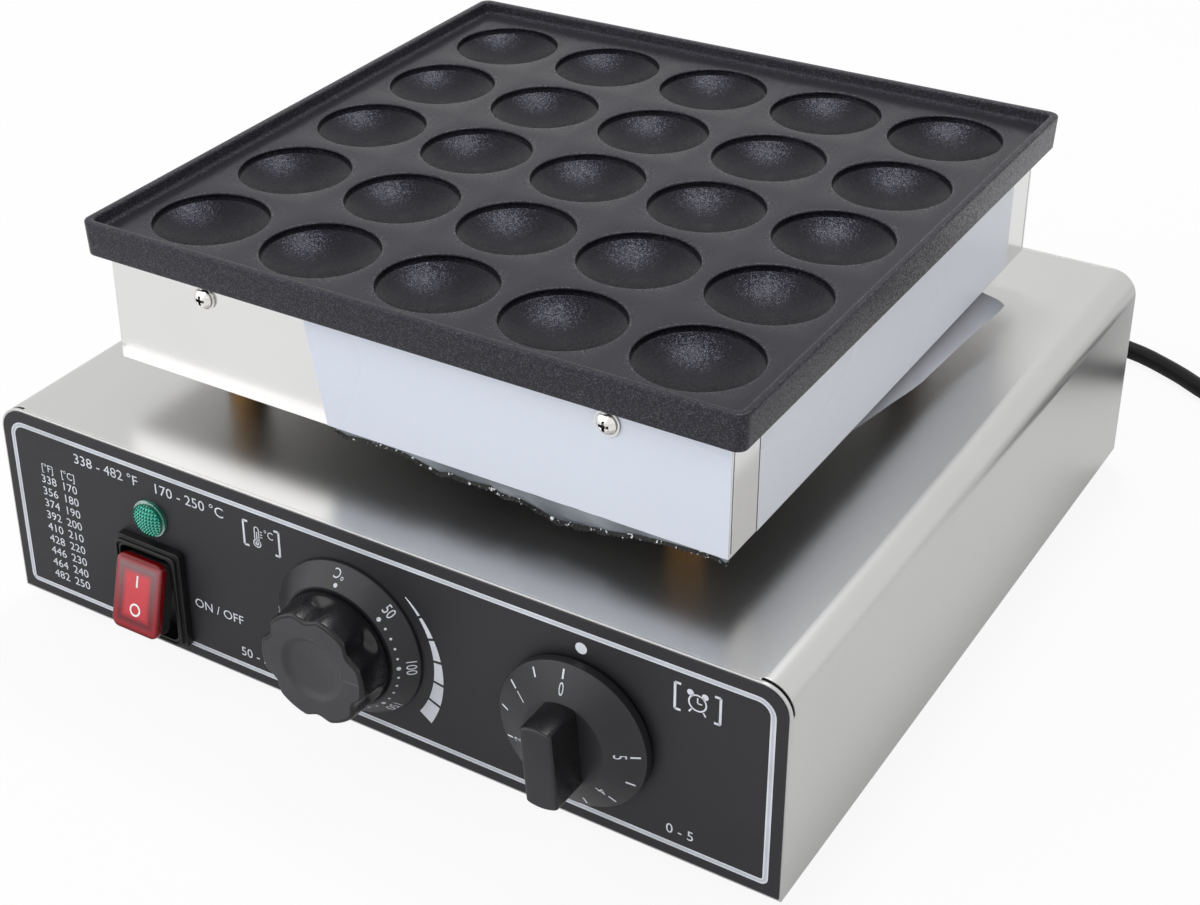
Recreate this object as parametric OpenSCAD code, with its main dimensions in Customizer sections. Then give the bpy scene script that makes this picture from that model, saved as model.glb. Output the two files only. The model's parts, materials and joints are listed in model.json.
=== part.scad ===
// Mini pancake maker: a cast plate of shallow round moulds on an electric heater housing,
// which four spacers carry above a sheet steel base with the switch, thermostat and timer.
// Sizes are in millimetres. X runs to the right seen from the front, Y to the back and Z up.

/* [Baking plate] */
// Side length of the square plate
plate_w = 283; // [260:1:300]
// Height of the plate's edge
plate_h = 14.5; // [12:0.5:18]
// Corner radius of the plate
plate_corner_r = 4.5; // [3.5:0.5:12]
// Width of the raised rim
rim_w = 3.4; // [2:0.2:5]
// Depth of the flat below the top of the rim
flat_drop = 5.3; // [3:0.1:7]
// Thickness of the plate between the moulds
web_t = 4; // [3:0.5:6]
// How far the plate's edge reaches inside the housing wall
ledge_w = 3; // [1:0.5:5]
// Moulds along each side
mould_count = 5; // [3:1:5]
// Width of the plate's edge outside the square that each mould stands in
mould_margin = 9; // [7:0.5:10]
// Width of metal between neighbouring moulds
mould_gap = 7; // [6.5:0.5:12]
// Height of the steep edge of a mould
mould_edge_h = 2.5; // [1:0.5:4]
// Depth of the round bowl below the steep edge
mould_bowl_h = 6; // [3:0.5:8]
// Thickness of metal round a mould
mould_wall = 3; // [2:0.5:3]

/* [Heater housing] */
// How far the plate reaches past the housing on each side
plate_overhang = 7.5; // [4:0.5:8]
// Height of the housing
housing_h = 46.5; // [42:0.5:70]
// Sheet thickness of the housing
housing_sheet = 1; // [0.8:0.1:1.5]
// Width of the open seam at each upright corner
seam_w = 0.8; // [0.4:0.1:1.5]
// Distance of the plate screws from the housing's corners
plate_screw_inset = 46.5; // [35:0.5:55]
// Place of the plate screws below the plate's edge
plate_screw_drop = 7.7; // [7:0.1:10]
// Thread diameter of the plate screws
plate_screw_d = 4; // [3:0.5:5]
// Thickness of the insulation pad
pad_t = 12; // [6:1:15]
// Thickness of the protective film
film_t = 0.2; // [0.1:0.05:0.4]

/* [Heating] */
// Diameter of the tubular heating element
element_d = 8; // [6.5:0.5:9]
// Distance of the element's inner legs from the clamp screws
element_offset = 10.5; // [10:0.5:16]
// Diameter of the thermostat bulb
bulb_d = 6; // [4:0.5:6.5]
// Length of the thermostat bulb
bulb_l = 100; // [70:1:120]
// Thickness of the bars that press the element to the plate
clamp_t = 2; // [1.5:0.5:3]

/* [Spacers] */
// Height of the gap between the base and the housing
standoff_h = 17.5; // [16.5:0.5:30]
// Diameter of a spacer
standoff_d = 16; // [12:0.5:20]
// Distance of the spacer centres from the housing's walls
standoff_inset = 34; // [24:1:40]
// Thread diameter of the spacer screws
standoff_screw_d = 5; // [4:0.5:6]
// Outer diameter of the wire conduit
conduit_d = 28; // [26:1:32]

/* [Base] */
// Width of the base
base_w = 348; // [340:1:380]
// Depth of the base
base_d = 336; // [330:1:370]
// Height of the base without its feet
base_h = 88; // [84:0.5:110]
// Radius of the base's upper long edges
base_corner_r = 11; // [6:0.5:14]
// Sheet thickness of the base cover
cover_t = 1; // [0.8:0.1:1.5]
// Sheet thickness of the chassis
chassis_t = 1.2; // [1:0.1:2]
// Width of the cover's flange under the chassis
flange_w = 14; // [12:1:18]
// How far the plate stands forward of the base's middle
plate_forward = 2; // [0:0.5:6]
// Height of the feet
foot_h = 8; // [6:0.5:15]
// Diameter of a foot
foot_d = 24; // [20:1:30]
// Distance of the feet from the base's edges
foot_inset = 40; // [35:1:60]

/* [Controls] */
// Thickness of the printed fascia
fascia_t = 0.4; // [0.2:0.1:0.8]
// Width of bare metal round the fascia
fascia_edge = 0.9; // [0.5:0.1:2]
// Distance of the switch's middle from the base's left side
switch_inset = 76; // [70:1:84]
// Height of the switch above the base's lower edge
switch_z = 27.4; // [26:0.1:30]
// Width of the switch frame
switch_w = 32.5; // [31.5:0.5:36]
// Height of the switch frame
switch_h = 44.4; // [43:0.1:48]
// How far the switch frame stands out
switch_out = 5.5; // [4.5:0.5:7]
// Tilt of the rocker to each side of its middle, in degrees
rocker_tilt = 15; // [8:1:15]
// Width of the rocker
rocker_w = 23.4; // [18:0.2:24]
// Length of the rocker's face
rocker_l = 31.3; // [24:0.1:32]
// Distance of the indicator lamp's middle from the base's left side
lamp_inset = 77; // [70:1:84]
// Height of the indicator lamp above the base's lower edge
lamp_z = 60.3; // [58:0.1:66]
// Diameter of the lamp's lens
lamp_d = 13; // [10:0.5:16]
// Middle of the thermostat, from the base's middle
thermostat_x = -2.5; // [-12:0.5:8]
// Height of both knobs above the base's lower edge
knob_z = 41.2; // [40:0.1:46]
// Outer diameter of the thermostat's dial ring
dial_d = 65; // [60:0.5:70]
// How far the dial ring stands out
dial_out = 8; // [6:0.5:10]
// Diameter of the thermostat knob
grip_d = 46; // [40:0.5:48]
// Flutes round the thermostat knob
grip_flutes = 6; // [4:1:10]
// How far the thermostat knob stands out
grip_out = 24; // [22:0.5:30]
// Angle of the thermostat's pointer at rest, clockwise from the top
pointer_angle = 86; // [0:1:270]
// Distance of the timer's middle from the base's right side
timer_inset = 78.5; // [70:0.5:86]
// Diameter of the timer's marked skirt
skirt_d = 59; // [54:0.5:64]
// Width of the timer's bar handle
handle_w = 13; // [9:0.5:18]
// Length of the timer's bar handle
handle_l = 33; // [28:0.5:38]
// How far the timer's handle stands out
handle_out = 27; // [24:0.1:36]
// Angle of the timer knob at rest, clockwise from the top
timer_angle = -5; // [-5:1:0]
// Diameter of both control shafts
shaft_d = 6; // [5:0.5:8]
// Clearance round the shafts and the rocker's pins
running_fit = 0.06; // [0.03:0.01:0.1]

/* [Cord] */
// Diameter of the cord
cord_d = 8.5; // [7:0.5:9]
// Distance of the strain relief from the base's right side
relief_inset = 112; // [100:1:124]
// Height of the strain relief above the base's lower edge
relief_z = 25; // [22:1:40]
// Length of the strain relief behind its flange
relief_l = 31.4; // [20:0.2:50]
// Turns of the put-away coil in each of its two layers
coil_turns = 2; // [1:1:3]
// Diameter of the plug
plug_d = 36; // [30:1:40]

/* [Hidden] */
$fn = 48;

// How far a cutting shape reaches past the face it cuts
over = 1;
// Gap between a screw and its hole
screw_gap = 0.1;
// Gap between pieces that are pressed or laid together
seat_gap = 0.2;

// Heights
base_top = foot_h + base_h;
housing_z = base_top + standoff_h;
plate_z = housing_z + housing_h;
plate_top = plate_z + plate_h;
flat_z = plate_top - flat_drop;
web_z = flat_z - web_t;
cup_z = flat_z - mould_edge_h - mould_bowl_h - mould_wall;

// Depths: the model is centred between the front of the knobs and the end of the strain relief
relief_flange_t = 3;
front_reach = fascia_t + max(handle_out, grip_out);
rear_reach = relief_flange_t + relief_l;
base_y = (front_reach - rear_reach) / 2;
front_y = base_y - base_d / 2;
rear_y = base_y + base_d / 2;
fascia_y = front_y - fascia_t;
inside_y = front_y + chassis_t;
top_y = base_y - plate_forward;

// Moulds
mould_pitch = (plate_w - 2 * mould_margin) / mould_count;
mould_d = mould_pitch - mould_gap;
bowl_step = 0.6;
bowl_rim_r = mould_d / 2 - bowl_step;
bowl_r = (bowl_rim_r * bowl_rim_r + mould_bowl_h * mould_bowl_h) / (2 * mould_bowl_h);
mould_places = [for (i = [0 : mould_count - 1]) (i - (mould_count - 1) / 2) * mould_pitch];

// Housing and plate screws
housing_w = plate_w - 2 * plate_overhang;
housing_in = housing_w - 2 * housing_sheet;
plate_screw_x = housing_w / 2 - plate_screw_inset;
lug_w = 14;
lug_t = 8;
lug_h = plate_screw_drop + plate_screw_d + 3;
plate_screw_l = 11;
plate_screw_z = plate_z - plate_screw_drop;
plate_washer_d = 2.5 * plate_screw_d;
plate_washer_t = 1;
film_slant = 9;
film_bare_w = 92.5;
film_left_x = film_bare_w - housing_w / 2;
film_side_margin = 20;

// Heating
element_z = cup_z - seat_gap - element_d / 2;
clamp_x = mould_pitch / 2;
element_inner_x = clamp_x + element_offset;
element_outer_x = element_inner_x + mould_pitch;
element_rear_gap = 43;
element_front_gap = 63;
element_end_gap = 47;
element_rear_y = housing_in / 2 - element_rear_gap;
element_front_y = element_front_gap - housing_in / 2;
element_end_y = element_end_gap - housing_in / 2;
clamp_top = element_z - element_d / 2 - seat_gap;
clamp_w = 16;
clamp_screw_d = 4;
clamp_screw_l = 12;
clamp_boss_d = 9;
bulb_z = cup_z - seat_gap - bulb_d / 2;
stud_d = 4;
stud_l = 12;
bead_l = 6;

// Conduit and spacers
pad_edge = 8;
conduit_gap = 58;
conduit_y = conduit_gap - housing_in / 2;
conduit_neck_d = conduit_d - 8;
conduit_bore_d = conduit_neck_d - 5;
conduit_nut_h = 5;
conduit_end = 14;
standoff_span = housing_w - 2 * standoff_inset;
standoff_screw_l = standoff_h / 2 - 1;

// Base
chassis_z = foot_h + cover_t;
notch_l = 1.5;
notch_w = base_corner_r + over;
cover_screw_d = 4;
cover_screw_l = 8;
cover_screw_inset = 50;
cover_screw_x = base_w / 2 - flange_w / 2 - cover_t / 2;
cover_screw_ys = [front_y + cover_screw_inset, base_y, rear_y - cover_screw_inset];
foot_screw_d = 4;
foot_x = base_w / 2 - foot_inset;
foot_y = base_d / 2 - foot_inset;
foot_recess_d = 12;
foot_recess_h = foot_h / 2;
foot_screw_l = chassis_z - foot_recess_h + chassis_t + 4;
vent_w = 4;
vent_l = 60;
vent_pitch = 12;

// Switch
switch_x = switch_inset - base_w / 2;
switch_axis_z = foot_h + switch_z;
switch_hole_w = switch_w - 6.5;
switch_hole_h = switch_h - 6.8;
switch_neck_wall = 1.2;
switch_depth = 26;
pivot_out = 2.2;
pivot_y = fascia_y - pivot_out;
pin_d = 3;
pin_l = 2;
rocker_face = 10.5;
rocker_skirt = 4;
rocker_corner_r = 3.5;

// Indicator lamp
lamp_x = lamp_inset - base_w / 2;
lamp_axis_z = foot_h + lamp_z;
lamp_out = 5;
lamp_rim_d = lamp_d + 3;
lamp_rim_t = 1.2;
lamp_neck_d = lamp_d - 4;
lamp_depth = 26;
lamp_nut_h = 3;

// Thermostat and timer
timer_x = base_w / 2 - timer_inset;
knob_axis_z = foot_h + knob_z;
control_screw_x = 14;
control_screw_d = 4;
control_screw_l = 8;
control_hole_d = shaft_d + 4;
dial_lip = 1.2;
dial_top_d = dial_d - 15;
grip_gap = 0.6;
grip_draft = 1.2;
grip_dish_d = 26;
grip_dish_h = 2;
flute_d = 24;
flute_cut = 2.4;
pointer_w = 0.9;
hub_d = 12;
hub_hole_d = hub_d + 4;
shaft_seat = 12;
shaft_in_knob = 13;
skirt_gap = 1.2;
skirt_edge = 5;
skirt_top = 10.6;
thermostat_w = 46;
thermostat_depth = 34;
thermostat_h = 42;
timer_w = 54;
timer_depth = 42;
timer_h = 52;
blade_w = 6.3;
blade_t = 0.8;
blade_l = 10;
blade_spread = 8;

// Terminal block and earth stud
floor_z = chassis_z + chassis_t;
block_x = 20;
block_inset = 80;
block_y = rear_y - block_inset;
block_w = 46;
block_depth = 22;
block_h = 18;
block_screw_x = block_w / 2 - 5;
block_screw_d = 3.5;
block_screw_l = block_h + chassis_t + 2;
earth_side_inset = 64;
earth_rear_inset = 60;
earth_x = base_w / 2 - earth_side_inset;
earth_y = rear_y - earth_rear_inset;
earth_d = 5;
earth_h = 16;
earth_head_h = 3;
earth_nut_h = 4;
wire_d = 3;
wire_lead = 6;

// Cord: the first points follow the strain relief, and the rest lie on the floor as chosen
relief_x = base_w / 2 - relief_inset;
relief_axis_z = foot_h + relief_z;
relief_end_y = rear_y + rear_reach;
relief_flange_d = 24;
relief_neck_d = 15;
relief_neck_l = 12;
relief_nut_h = 5;
relief_root_d = 16;
relief_tip_d = cord_d + 3;
cord_lead = cord_d + 2;
cord_rest_z = cord_d / 2 + 0.25;
coil_pitch = 1.06 * cord_d;
coil_r = 5.5 * cord_d + coil_pitch;
coil_rings = 24;
coil_x = relief_x + 214;
coil_y = relief_end_y + 63.6;
coil_entry = -24;
coil_exit = 90;
coil_half = 360 * coil_turns;
coil_sweep = 2 * coil_half + coil_exit - coil_entry;
tie_t = 1.2;
tie_gap = 0.6;
tie_w = 8;
coil_low_z = tie_t + tie_gap + cord_d / 2;
coil_start = coil_place(0) - cord_lead * heading(coil_entry);
plug_rise = [0, 0, plug_d / 2 - coil_height(coil_sweep)];
plug_start = coil_place(coil_sweep) + 4.5 * cord_d * heading(coil_exit) + plug_rise;
plug_boot_l = 22;
plug_taper_l = 12;
plug_body_l = 22;
plug_pin_spread = 19;
plug_pin_d = 4.8;
plug_pin_l = 19;
cord_route = [
    [relief_x, relief_end_y, relief_axis_z],
    [relief_x, relief_end_y + cord_lead, relief_axis_z],
    [relief_x + 6, relief_end_y + 32, relief_axis_z - 6],
    [relief_x + 22, relief_end_y + 52, relief_axis_z / 2 - 2],
    [relief_x + 50, relief_end_y + 63, cord_rest_z + 1.5],
    [relief_x + 86, relief_end_y + 64, cord_rest_z],
    [relief_x + 112, relief_end_y + 53.6, cord_rest_z],
    [relief_x + 134, relief_end_y + 40.6, cord_rest_z],
    coil_start - cord_lead * heading(coil_entry),
    coil_start
];

// Coil: it winds in on the floor, climbs in the half turn where it turns back, and winds out on top
function heading(angle) = [cos(angle), sin(angle), 0];
function coil_radius(sweep) = coil_r - coil_pitch * (coil_half - abs(coil_half - sweep)) / 360;
function coil_height(sweep) =
    coil_low_z + coil_pitch * min(max((sweep - coil_half + 90) / 180, 0), 1);
function coil_place(sweep) =
    [coil_x, coil_y, coil_height(sweep)] + coil_radius(sweep) * heading(coil_entry - 90 + sweep);
coil_loops = [
    for (i = [0 : floor(coil_sweep * coil_rings / 360)]) coil_place(i * 360 / coil_rings)
];
coil_path = concat(
    [coil_start],
    coil_loops,
    [
        coil_place(coil_sweep) + cord_d * heading(coil_exit),
        plug_start - 1.2 * cord_d * heading(coil_exit),
        plug_start
    ]
);

// Least gap between the coil's turns, over points at least half a turn apart
coil_gap = min([
    for (i = [0 : len(coil_path) - 1], j = [i + coil_rings / 2 : 1 : len(coil_path) - 1])
        norm(coil_path[i] - coil_path[j])
]) - cord_d;
echo(coil_gap = coil_gap);
function path_length(path) = len(path) < 2 ? 0
    : norm(path[1] - path[0]) + path_length([for (i = [1 : len(path) - 1]) path[i]]);
echo(cord_length = path_length(smooth_path(cord_route, 2)) + path_length(coil_path));

// Smooth curve through a list of places, whose first and last stretches stay straight
function curve_point(a, b, c, d, t) = 0.5 * (
    2 * b + (c - a) * t + (2 * a - 5 * b + 4 * c - d) * t * t + (3 * b - a - 3 * c + d) * t * t * t
);
function guide(from, to, next) = next - 2 * norm(next - to) * unit(to - from);
function smooth_path(places, steps) =
    let (
        last = len(places) - 1,
        before = guide(places[0], places[1], places[2]),
        after = guide(places[last], places[last - 1], places[last - 2])
    ) [
        places[0],
        for (i = [1 : last - 2], s = [0 : steps - 1])
            curve_point(
                i == 1 ? before : places[i - 1],
                places[i],
                places[i + 1],
                i == last - 2 ? after : places[i + 2],
                s / steps
            ),
        places[last - 1],
        places[last]
    ];

// Directions along a path, and sideways directions carried along it without twist
function unit(v) = v / norm(v);
function along(path, i) = unit(path[min(i + 1, len(path) - 1)] - path[max(i - 1, 0)]);
function square_to(side, line) = unit(side - (side * line) * line);
function sides_along(path, first) = [
    for (
        i = 0, side = square_to(first, along(path, 0));
        i < len(path);
        side = square_to(side, along(path, min(i + 1, len(path) - 1))), i = i + 1
    ) side
];

// Round tube along a path
module tube(path, d, sides, first = [0, 0, 1]) {
    side = sides_along(path, first);
    rings = len(path);
    points = [
        for (i = [0 : rings - 1], k = [0 : sides - 1])
            let (u = side[i], v = cross(along(path, i), u), a = 360 * k / sides)
                path[i] + d / 2 * (cos(a) * u + sin(a) * v)
    ];
    wall = [
        for (i = [0 : rings - 2], k = [0 : sides - 1])
            let (a = i * sides + k, b = i * sides + (k + 1) % sides)
                each [[a, a + sides, b], [b, a + sides, b + sides]]
    ];
    last = (rings - 1) * sides;
    start_cap = [for (k = [1 : sides - 2]) [0, k, k + 1]];
    end_cap = [for (k = [1 : sides - 2]) [last, last + k + 1, last + k]];
    polyhedron(points, concat(wall, start_cap, end_cap));
}

// Square with round corners, centred
module rounded_square(w, d, r) {
    square([w - 2 * r, d], center = true);
    square([w, d - 2 * r], center = true);
    for (x = [-1, 1], y = [-1, 1]) {
        translate([x * (w / 2 - r), y * (d / 2 - r)]) circle(r = r);
    }
}

// Outline of the base seen from the front, drawn in by some distance, standing on its lower edge
module base_outline(inset) {
    w = base_w - 2 * inset;
    h = base_h - 2 * inset;
    r = base_corner_r - inset;
    translate([-w / 2, inset]) square([w, h - r]);
    translate([-w / 2 + r, inset]) square([w - 2 * r, h]);
    for (x = [-1, 1]) {
        translate([x * (w / 2 - r), inset + h - r]) circle(r = r);
    }
}

// Turns a shape drawn in X and Z into a sheet that runs back from a place in Y
module sheet_at(y, t) {
    translate([0, y + t, 0]) rotate([90, 0, 0]) linear_extrude(t) children();
}

// Points a shape that stands on the XY plane out of the front, from a place in Y
module facing_front(x, y, z) {
    translate([x, y, z]) rotate([90, 0, 0]) children();
}

// Pan head screw with a cross recess: the head stands on the XY plane and the thread hangs below
module pan_screw(d, l) {
    head_d = 2 * d;
    head_h = 0.65 * d;
    edge_h = 0.3 * head_h;
    dome_h = head_h - edge_h;
    dome_r = (head_d * head_d / 4 + dome_h * dome_h) / (2 * dome_h);
    difference() {
        union() {
            translate([0, 0, -l]) cylinder(d = d, h = l);
            intersection() {
                cylinder(d = head_d, h = head_h);
                translate([0, 0, head_h - dome_r]) sphere(r = dome_r);
            }
        }
        for (turn = [0, 90]) {
            rotate(turn) translate([0, 0, head_h]) cube([d, 0.28 * d, head_h], center = true);
        }
    }
}

// Hexagonal nut standing on the XY plane
module hex_nut(bore_d, across, h) {
    difference() {
        cylinder(d = across, h = h, $fn = 6);
        translate([0, 0, -over]) cylinder(d = bore_d, h = h + 2 * over);
    }
}

// Repeats a shape at the four corners of a rectangle
module at_corners(x, y) {
    for (i = [-1, 1], j = [-1, 1]) {
        translate([i * x, j * y, 0]) children();
    }
}

// Places of the plate screws: each child points out of its wall
module at_plate_screws(out) {
    for (x = [-1, 1], turn = [0, 180]) {
        translate([0, top_y, plate_screw_z]) rotate(turn)
            translate([x * plate_screw_x, -housing_w / 2 - out, 0]) rotate([90, 0, 0]) children();
    }
}

// Upper assembly

module mould_cut() {
    translate([0, 0, flat_z - mould_edge_h]) cylinder(d = mould_d, h = mould_edge_h + over);
    intersection() {
        translate([0, 0, flat_z - mould_edge_h - mould_bowl_h + bowl_r]) sphere(r = bowl_r);
        translate([0, 0, cup_z]) cylinder(d = mould_d, h = mould_wall + mould_bowl_h + seat_gap);
    }
}

module at_moulds() {
    for (x = mould_places, y = mould_places) {
        translate([x, y, 0]) children();
    }
}

module plate_lug() {
    difference() {
        translate([-lug_w / 2, -housing_in / 2 + seat_gap, plate_z - lug_h])
            cube([lug_w, lug_t, lug_h + web_z - plate_z]);
        translate([0, -housing_in / 2, plate_screw_z]) rotate([-90, 0, 0])
            cylinder(d = plate_screw_d + 2 * screw_gap, h = 3 * lug_t, center = true);
    }
}

module baking_plate() {
    skirt_in = housing_in - 2 * ledge_w;
    cups_w = housing_in - 2 * seat_gap;
    color("#2f3033") translate([0, top_y, 0]) difference() {
        union() {
            difference() {
                translate([0, 0, plate_z]) linear_extrude(plate_h)
                    rounded_square(plate_w, plate_w, plate_corner_r);
                translate([0, 0, flat_z]) linear_extrude(flat_drop + over)
                    rounded_square(plate_w - 2 * rim_w, plate_w - 2 * rim_w, plate_corner_r - rim_w / 2);
                translate([0, 0, (plate_z + web_z - over) / 2])
                    cube([skirt_in, skirt_in, web_z - plate_z + over], center = true);
            }
            intersection() {
                at_moulds() translate([0, 0, cup_z])
                    cylinder(d = mould_d + 2 * mould_wall, h = flat_z - cup_z - web_t / 2);
                translate([0, 0, plate_z]) cube([cups_w, cups_w, 2 * housing_h], center = true);
            }
            for (x = [-1, 1], turn = [0, 180]) {
                rotate(turn) translate([x * plate_screw_x, 0, 0]) plate_lug();
            }
            at_corners(clamp_x, clamp_x) translate([0, 0, clamp_top])
                cylinder(d = clamp_boss_d, h = web_z - clamp_top + web_t / 2);
        }
        at_moulds() mould_cut();
        at_corners(clamp_x, clamp_x) translate([0, 0, clamp_top - over])
            cylinder(d = clamp_screw_d + 2 * screw_gap, h = web_z - clamp_top - over);
    }
}

module plate_screws() {
    color("silver") at_plate_screws(plate_washer_t) pan_screw(plate_screw_d, plate_screw_l);
}

module plate_screw_washers() {
    color("gainsboro") at_plate_screws(0) difference() {
        cylinder(d = plate_washer_d, h = plate_washer_t);
        translate([0, 0, -over])
            cylinder(d = plate_screw_d + 2 * screw_gap, h = plate_washer_t + 2 * over);
    }
}

module heater_housing() {
    slit = housing_sheet + over;
    color("lightgray") difference() {
        translate([0, top_y, housing_z]) difference() {
            translate([-housing_w / 2, -housing_w / 2, 0]) cube([housing_w, housing_w, housing_h]);
            translate([-housing_in / 2, -housing_in / 2, housing_sheet])
                cube([housing_in, housing_in, housing_h]);
            for (turn = [0, 180], x = [-1, 1]) {
                rotate(turn) translate([
                    x * (housing_w / 2 + over / 2 - slit / 2) - slit / 2,
                    -housing_in / 2,
                    housing_sheet
                ]) cube([slit, seam_w, housing_h]);
            }
            at_corners(standoff_span / 2, standoff_span / 2)
                cylinder(d = standoff_screw_d + 2 * screw_gap, h = 3 * housing_sheet, center = true);
            translate([0, conduit_y, 0])
                cylinder(d = conduit_neck_d + 2 * screw_gap, h = 3 * housing_sheet, center = true);
        }
        at_plate_screws(0)
            cylinder(d = plate_screw_d + 2 * screw_gap, h = 4 * housing_sheet, center = true);
    }
}

module film_front() {
    hole_d = plate_washer_d + 2;
    color("#cdd6e2") difference() {
        sheet_at(top_y - housing_w / 2 - film_t, film_t) polygon([
            [film_left_x, plate_z - seat_gap],
            [film_left_x + film_slant, housing_z],
            [housing_w / 2 - seat_gap, housing_z],
            [housing_w / 2 - seat_gap, plate_z - seat_gap]
        ]);
        translate([plate_screw_x, top_y - housing_w / 2, plate_screw_z]) rotate([90, 0, 0])
            cylinder(d = hole_d, h = 3, center = true);
    }
}

module film_side() {
    color("#cdd6e2")
        translate([housing_w / 2, top_y - housing_w / 2 + film_side_margin, housing_z])
        cube([film_t, housing_w - 2 * film_side_margin, housing_h - seat_gap]);
}

module element_leg(x, from_y, to_y) {
    translate([x, from_y, 0]) rotate([-90, 0, 0]) cylinder(d = element_d, h = to_y - from_y);
}

module element_bend(x, y, r, turn) {
    translate([x, y, 0]) rotate(turn) rotate_extrude(angle = 180) translate([r, 0]) circle(d = element_d);
}

module heating_element() {
    bend_x = (element_outer_x + element_inner_x) / 2;
    bend_r = (element_outer_x - element_inner_x) / 2;
    color("dimgray") translate([0, top_y, element_z]) {
        for (x = [-1, 1]) {
            element_leg(x * element_outer_x, element_end_y, element_rear_y);
            element_leg(x * element_inner_x, element_front_y, element_rear_y);
            element_bend(x * bend_x, element_rear_y, bend_r, 0);
        }
        element_bend(0, element_front_y, element_inner_x, 180);
    }
}

module element_terminals() {
    color("white") for (x = [-1, 1]) {
        translate([x * element_outer_x, top_y + element_end_y, element_z]) rotate([90, 0, 0]) {
            cylinder(d = element_d - 1, h = bead_l);
            cylinder(d = stud_d, h = bead_l + stud_l);
        }
    }
}

module element_clamps() {
    length = 2 * element_outer_x + 2 * element_d;
    pad_h = bulb_z - bulb_d / 2 - seat_gap - clamp_top;
    color("silver") for (y = [-1, 1]) {
        translate([0, top_y + y * clamp_x, clamp_top]) difference() {
            union() {
                translate([-length / 2, -clamp_w / 2, -clamp_t]) cube([length, clamp_w, clamp_t]);
                translate([-bulb_d / 2, -clamp_w / 2, -clamp_t / 2])
                    cube([bulb_d, clamp_w, pad_h + clamp_t / 2]);
            }
            for (x = [-1, 1]) {
                translate([x * clamp_x, 0, 0])
                    cylinder(d = clamp_screw_d + 2 * screw_gap, h = 3 * clamp_t, center = true);
            }
        }
    }
}

module clamp_screws() {
    color("silver") translate([0, top_y, clamp_top - clamp_t]) at_corners(clamp_x, clamp_x)
        rotate([180, 0, 0]) pan_screw(clamp_screw_d, clamp_screw_l);
}

module sensor_bulb() {
    color("#b87333") translate([0, top_y + bulb_l / 2, bulb_z]) rotate([90, 0, 0])
        cylinder(d = bulb_d, h = bulb_l);
}

module capillary_tube() {
    start_y = top_y - bulb_l / 2;
    drop_y = top_y + conduit_y + 4;
    end_y = inside_y + thermostat_depth;
    color("#b87333") tube(smooth_path([
        [0, start_y, bulb_z],
        [0, start_y - 5, bulb_z],
        [0, drop_y + 4, bulb_z - 5],
        [0, drop_y, bulb_z - 16],
        [0, drop_y, housing_z],
        [0, drop_y, base_top - 20],
        [thermostat_x / 2, (drop_y + end_y) / 2, knob_axis_z + 14],
        [thermostat_x, end_y + 8, knob_axis_z + 4],
        [thermostat_x, end_y, knob_axis_z + 4]
    ], 3), 2, 6, [1, 0, 0]);
}

module insulation_pad() {
    side = housing_in - 2 * pad_edge;
    color("ivory") translate([0, top_y, housing_z + housing_sheet]) difference() {
        translate([-side / 2, -side / 2, 0]) cube([side, side, pad_t]);
        at_corners(standoff_span / 2, standoff_span / 2)
            cylinder(d = 3 * standoff_screw_d, h = 3 * pad_t, center = true);
        translate([0, conduit_y, 0]) cylinder(d = conduit_d + 8, h = 3 * pad_t, center = true);
    }
}

module standoffs() {
    color("#b08d3c") translate([0, top_y, base_top]) at_corners(standoff_span / 2, standoff_span / 2)
        difference() {
            cylinder(d = standoff_d, h = standoff_h);
            translate([0, 0, -over])
                cylinder(d = standoff_screw_d + 2 * screw_gap, h = standoff_h + 2 * over);
        }
}

module standoff_upper_screws() {
    color("silver") translate([0, top_y, housing_z + housing_sheet])
        at_corners(standoff_span / 2, standoff_span / 2)
        pan_screw(standoff_screw_d, housing_sheet + standoff_screw_l);
}

module standoff_lower_screws() {
    color("silver") translate([0, top_y, base_top - cover_t])
        at_corners(standoff_span / 2, standoff_span / 2)
        rotate([180, 0, 0]) pan_screw(standoff_screw_d, cover_t + standoff_screw_l);
}

module wire_conduit() {
    color("#2a2a2a") translate([0, top_y + conduit_y, base_top]) difference() {
        union() {
            cylinder(d = conduit_d, h = standoff_h);
            translate([0, 0, -conduit_end])
                cylinder(d = conduit_neck_d, h = standoff_h + 2 * conduit_end);
        }
        translate([0, 0, -conduit_end - over])
            cylinder(d = conduit_bore_d, h = standoff_h + 2 * conduit_end + 2 * over);
    }
}

module conduit_nuts() {
    bore_d = conduit_neck_d + 2 * screw_gap;
    color("silver") translate([0, top_y + conduit_y, 0]) {
        translate([0, 0, housing_z + housing_sheet]) hex_nut(bore_d, conduit_d + 4, conduit_nut_h);
        translate([0, 0, base_top - cover_t - conduit_nut_h])
            hex_nut(bore_d, conduit_d + 4, conduit_nut_h);
    }
}

// Base

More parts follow.
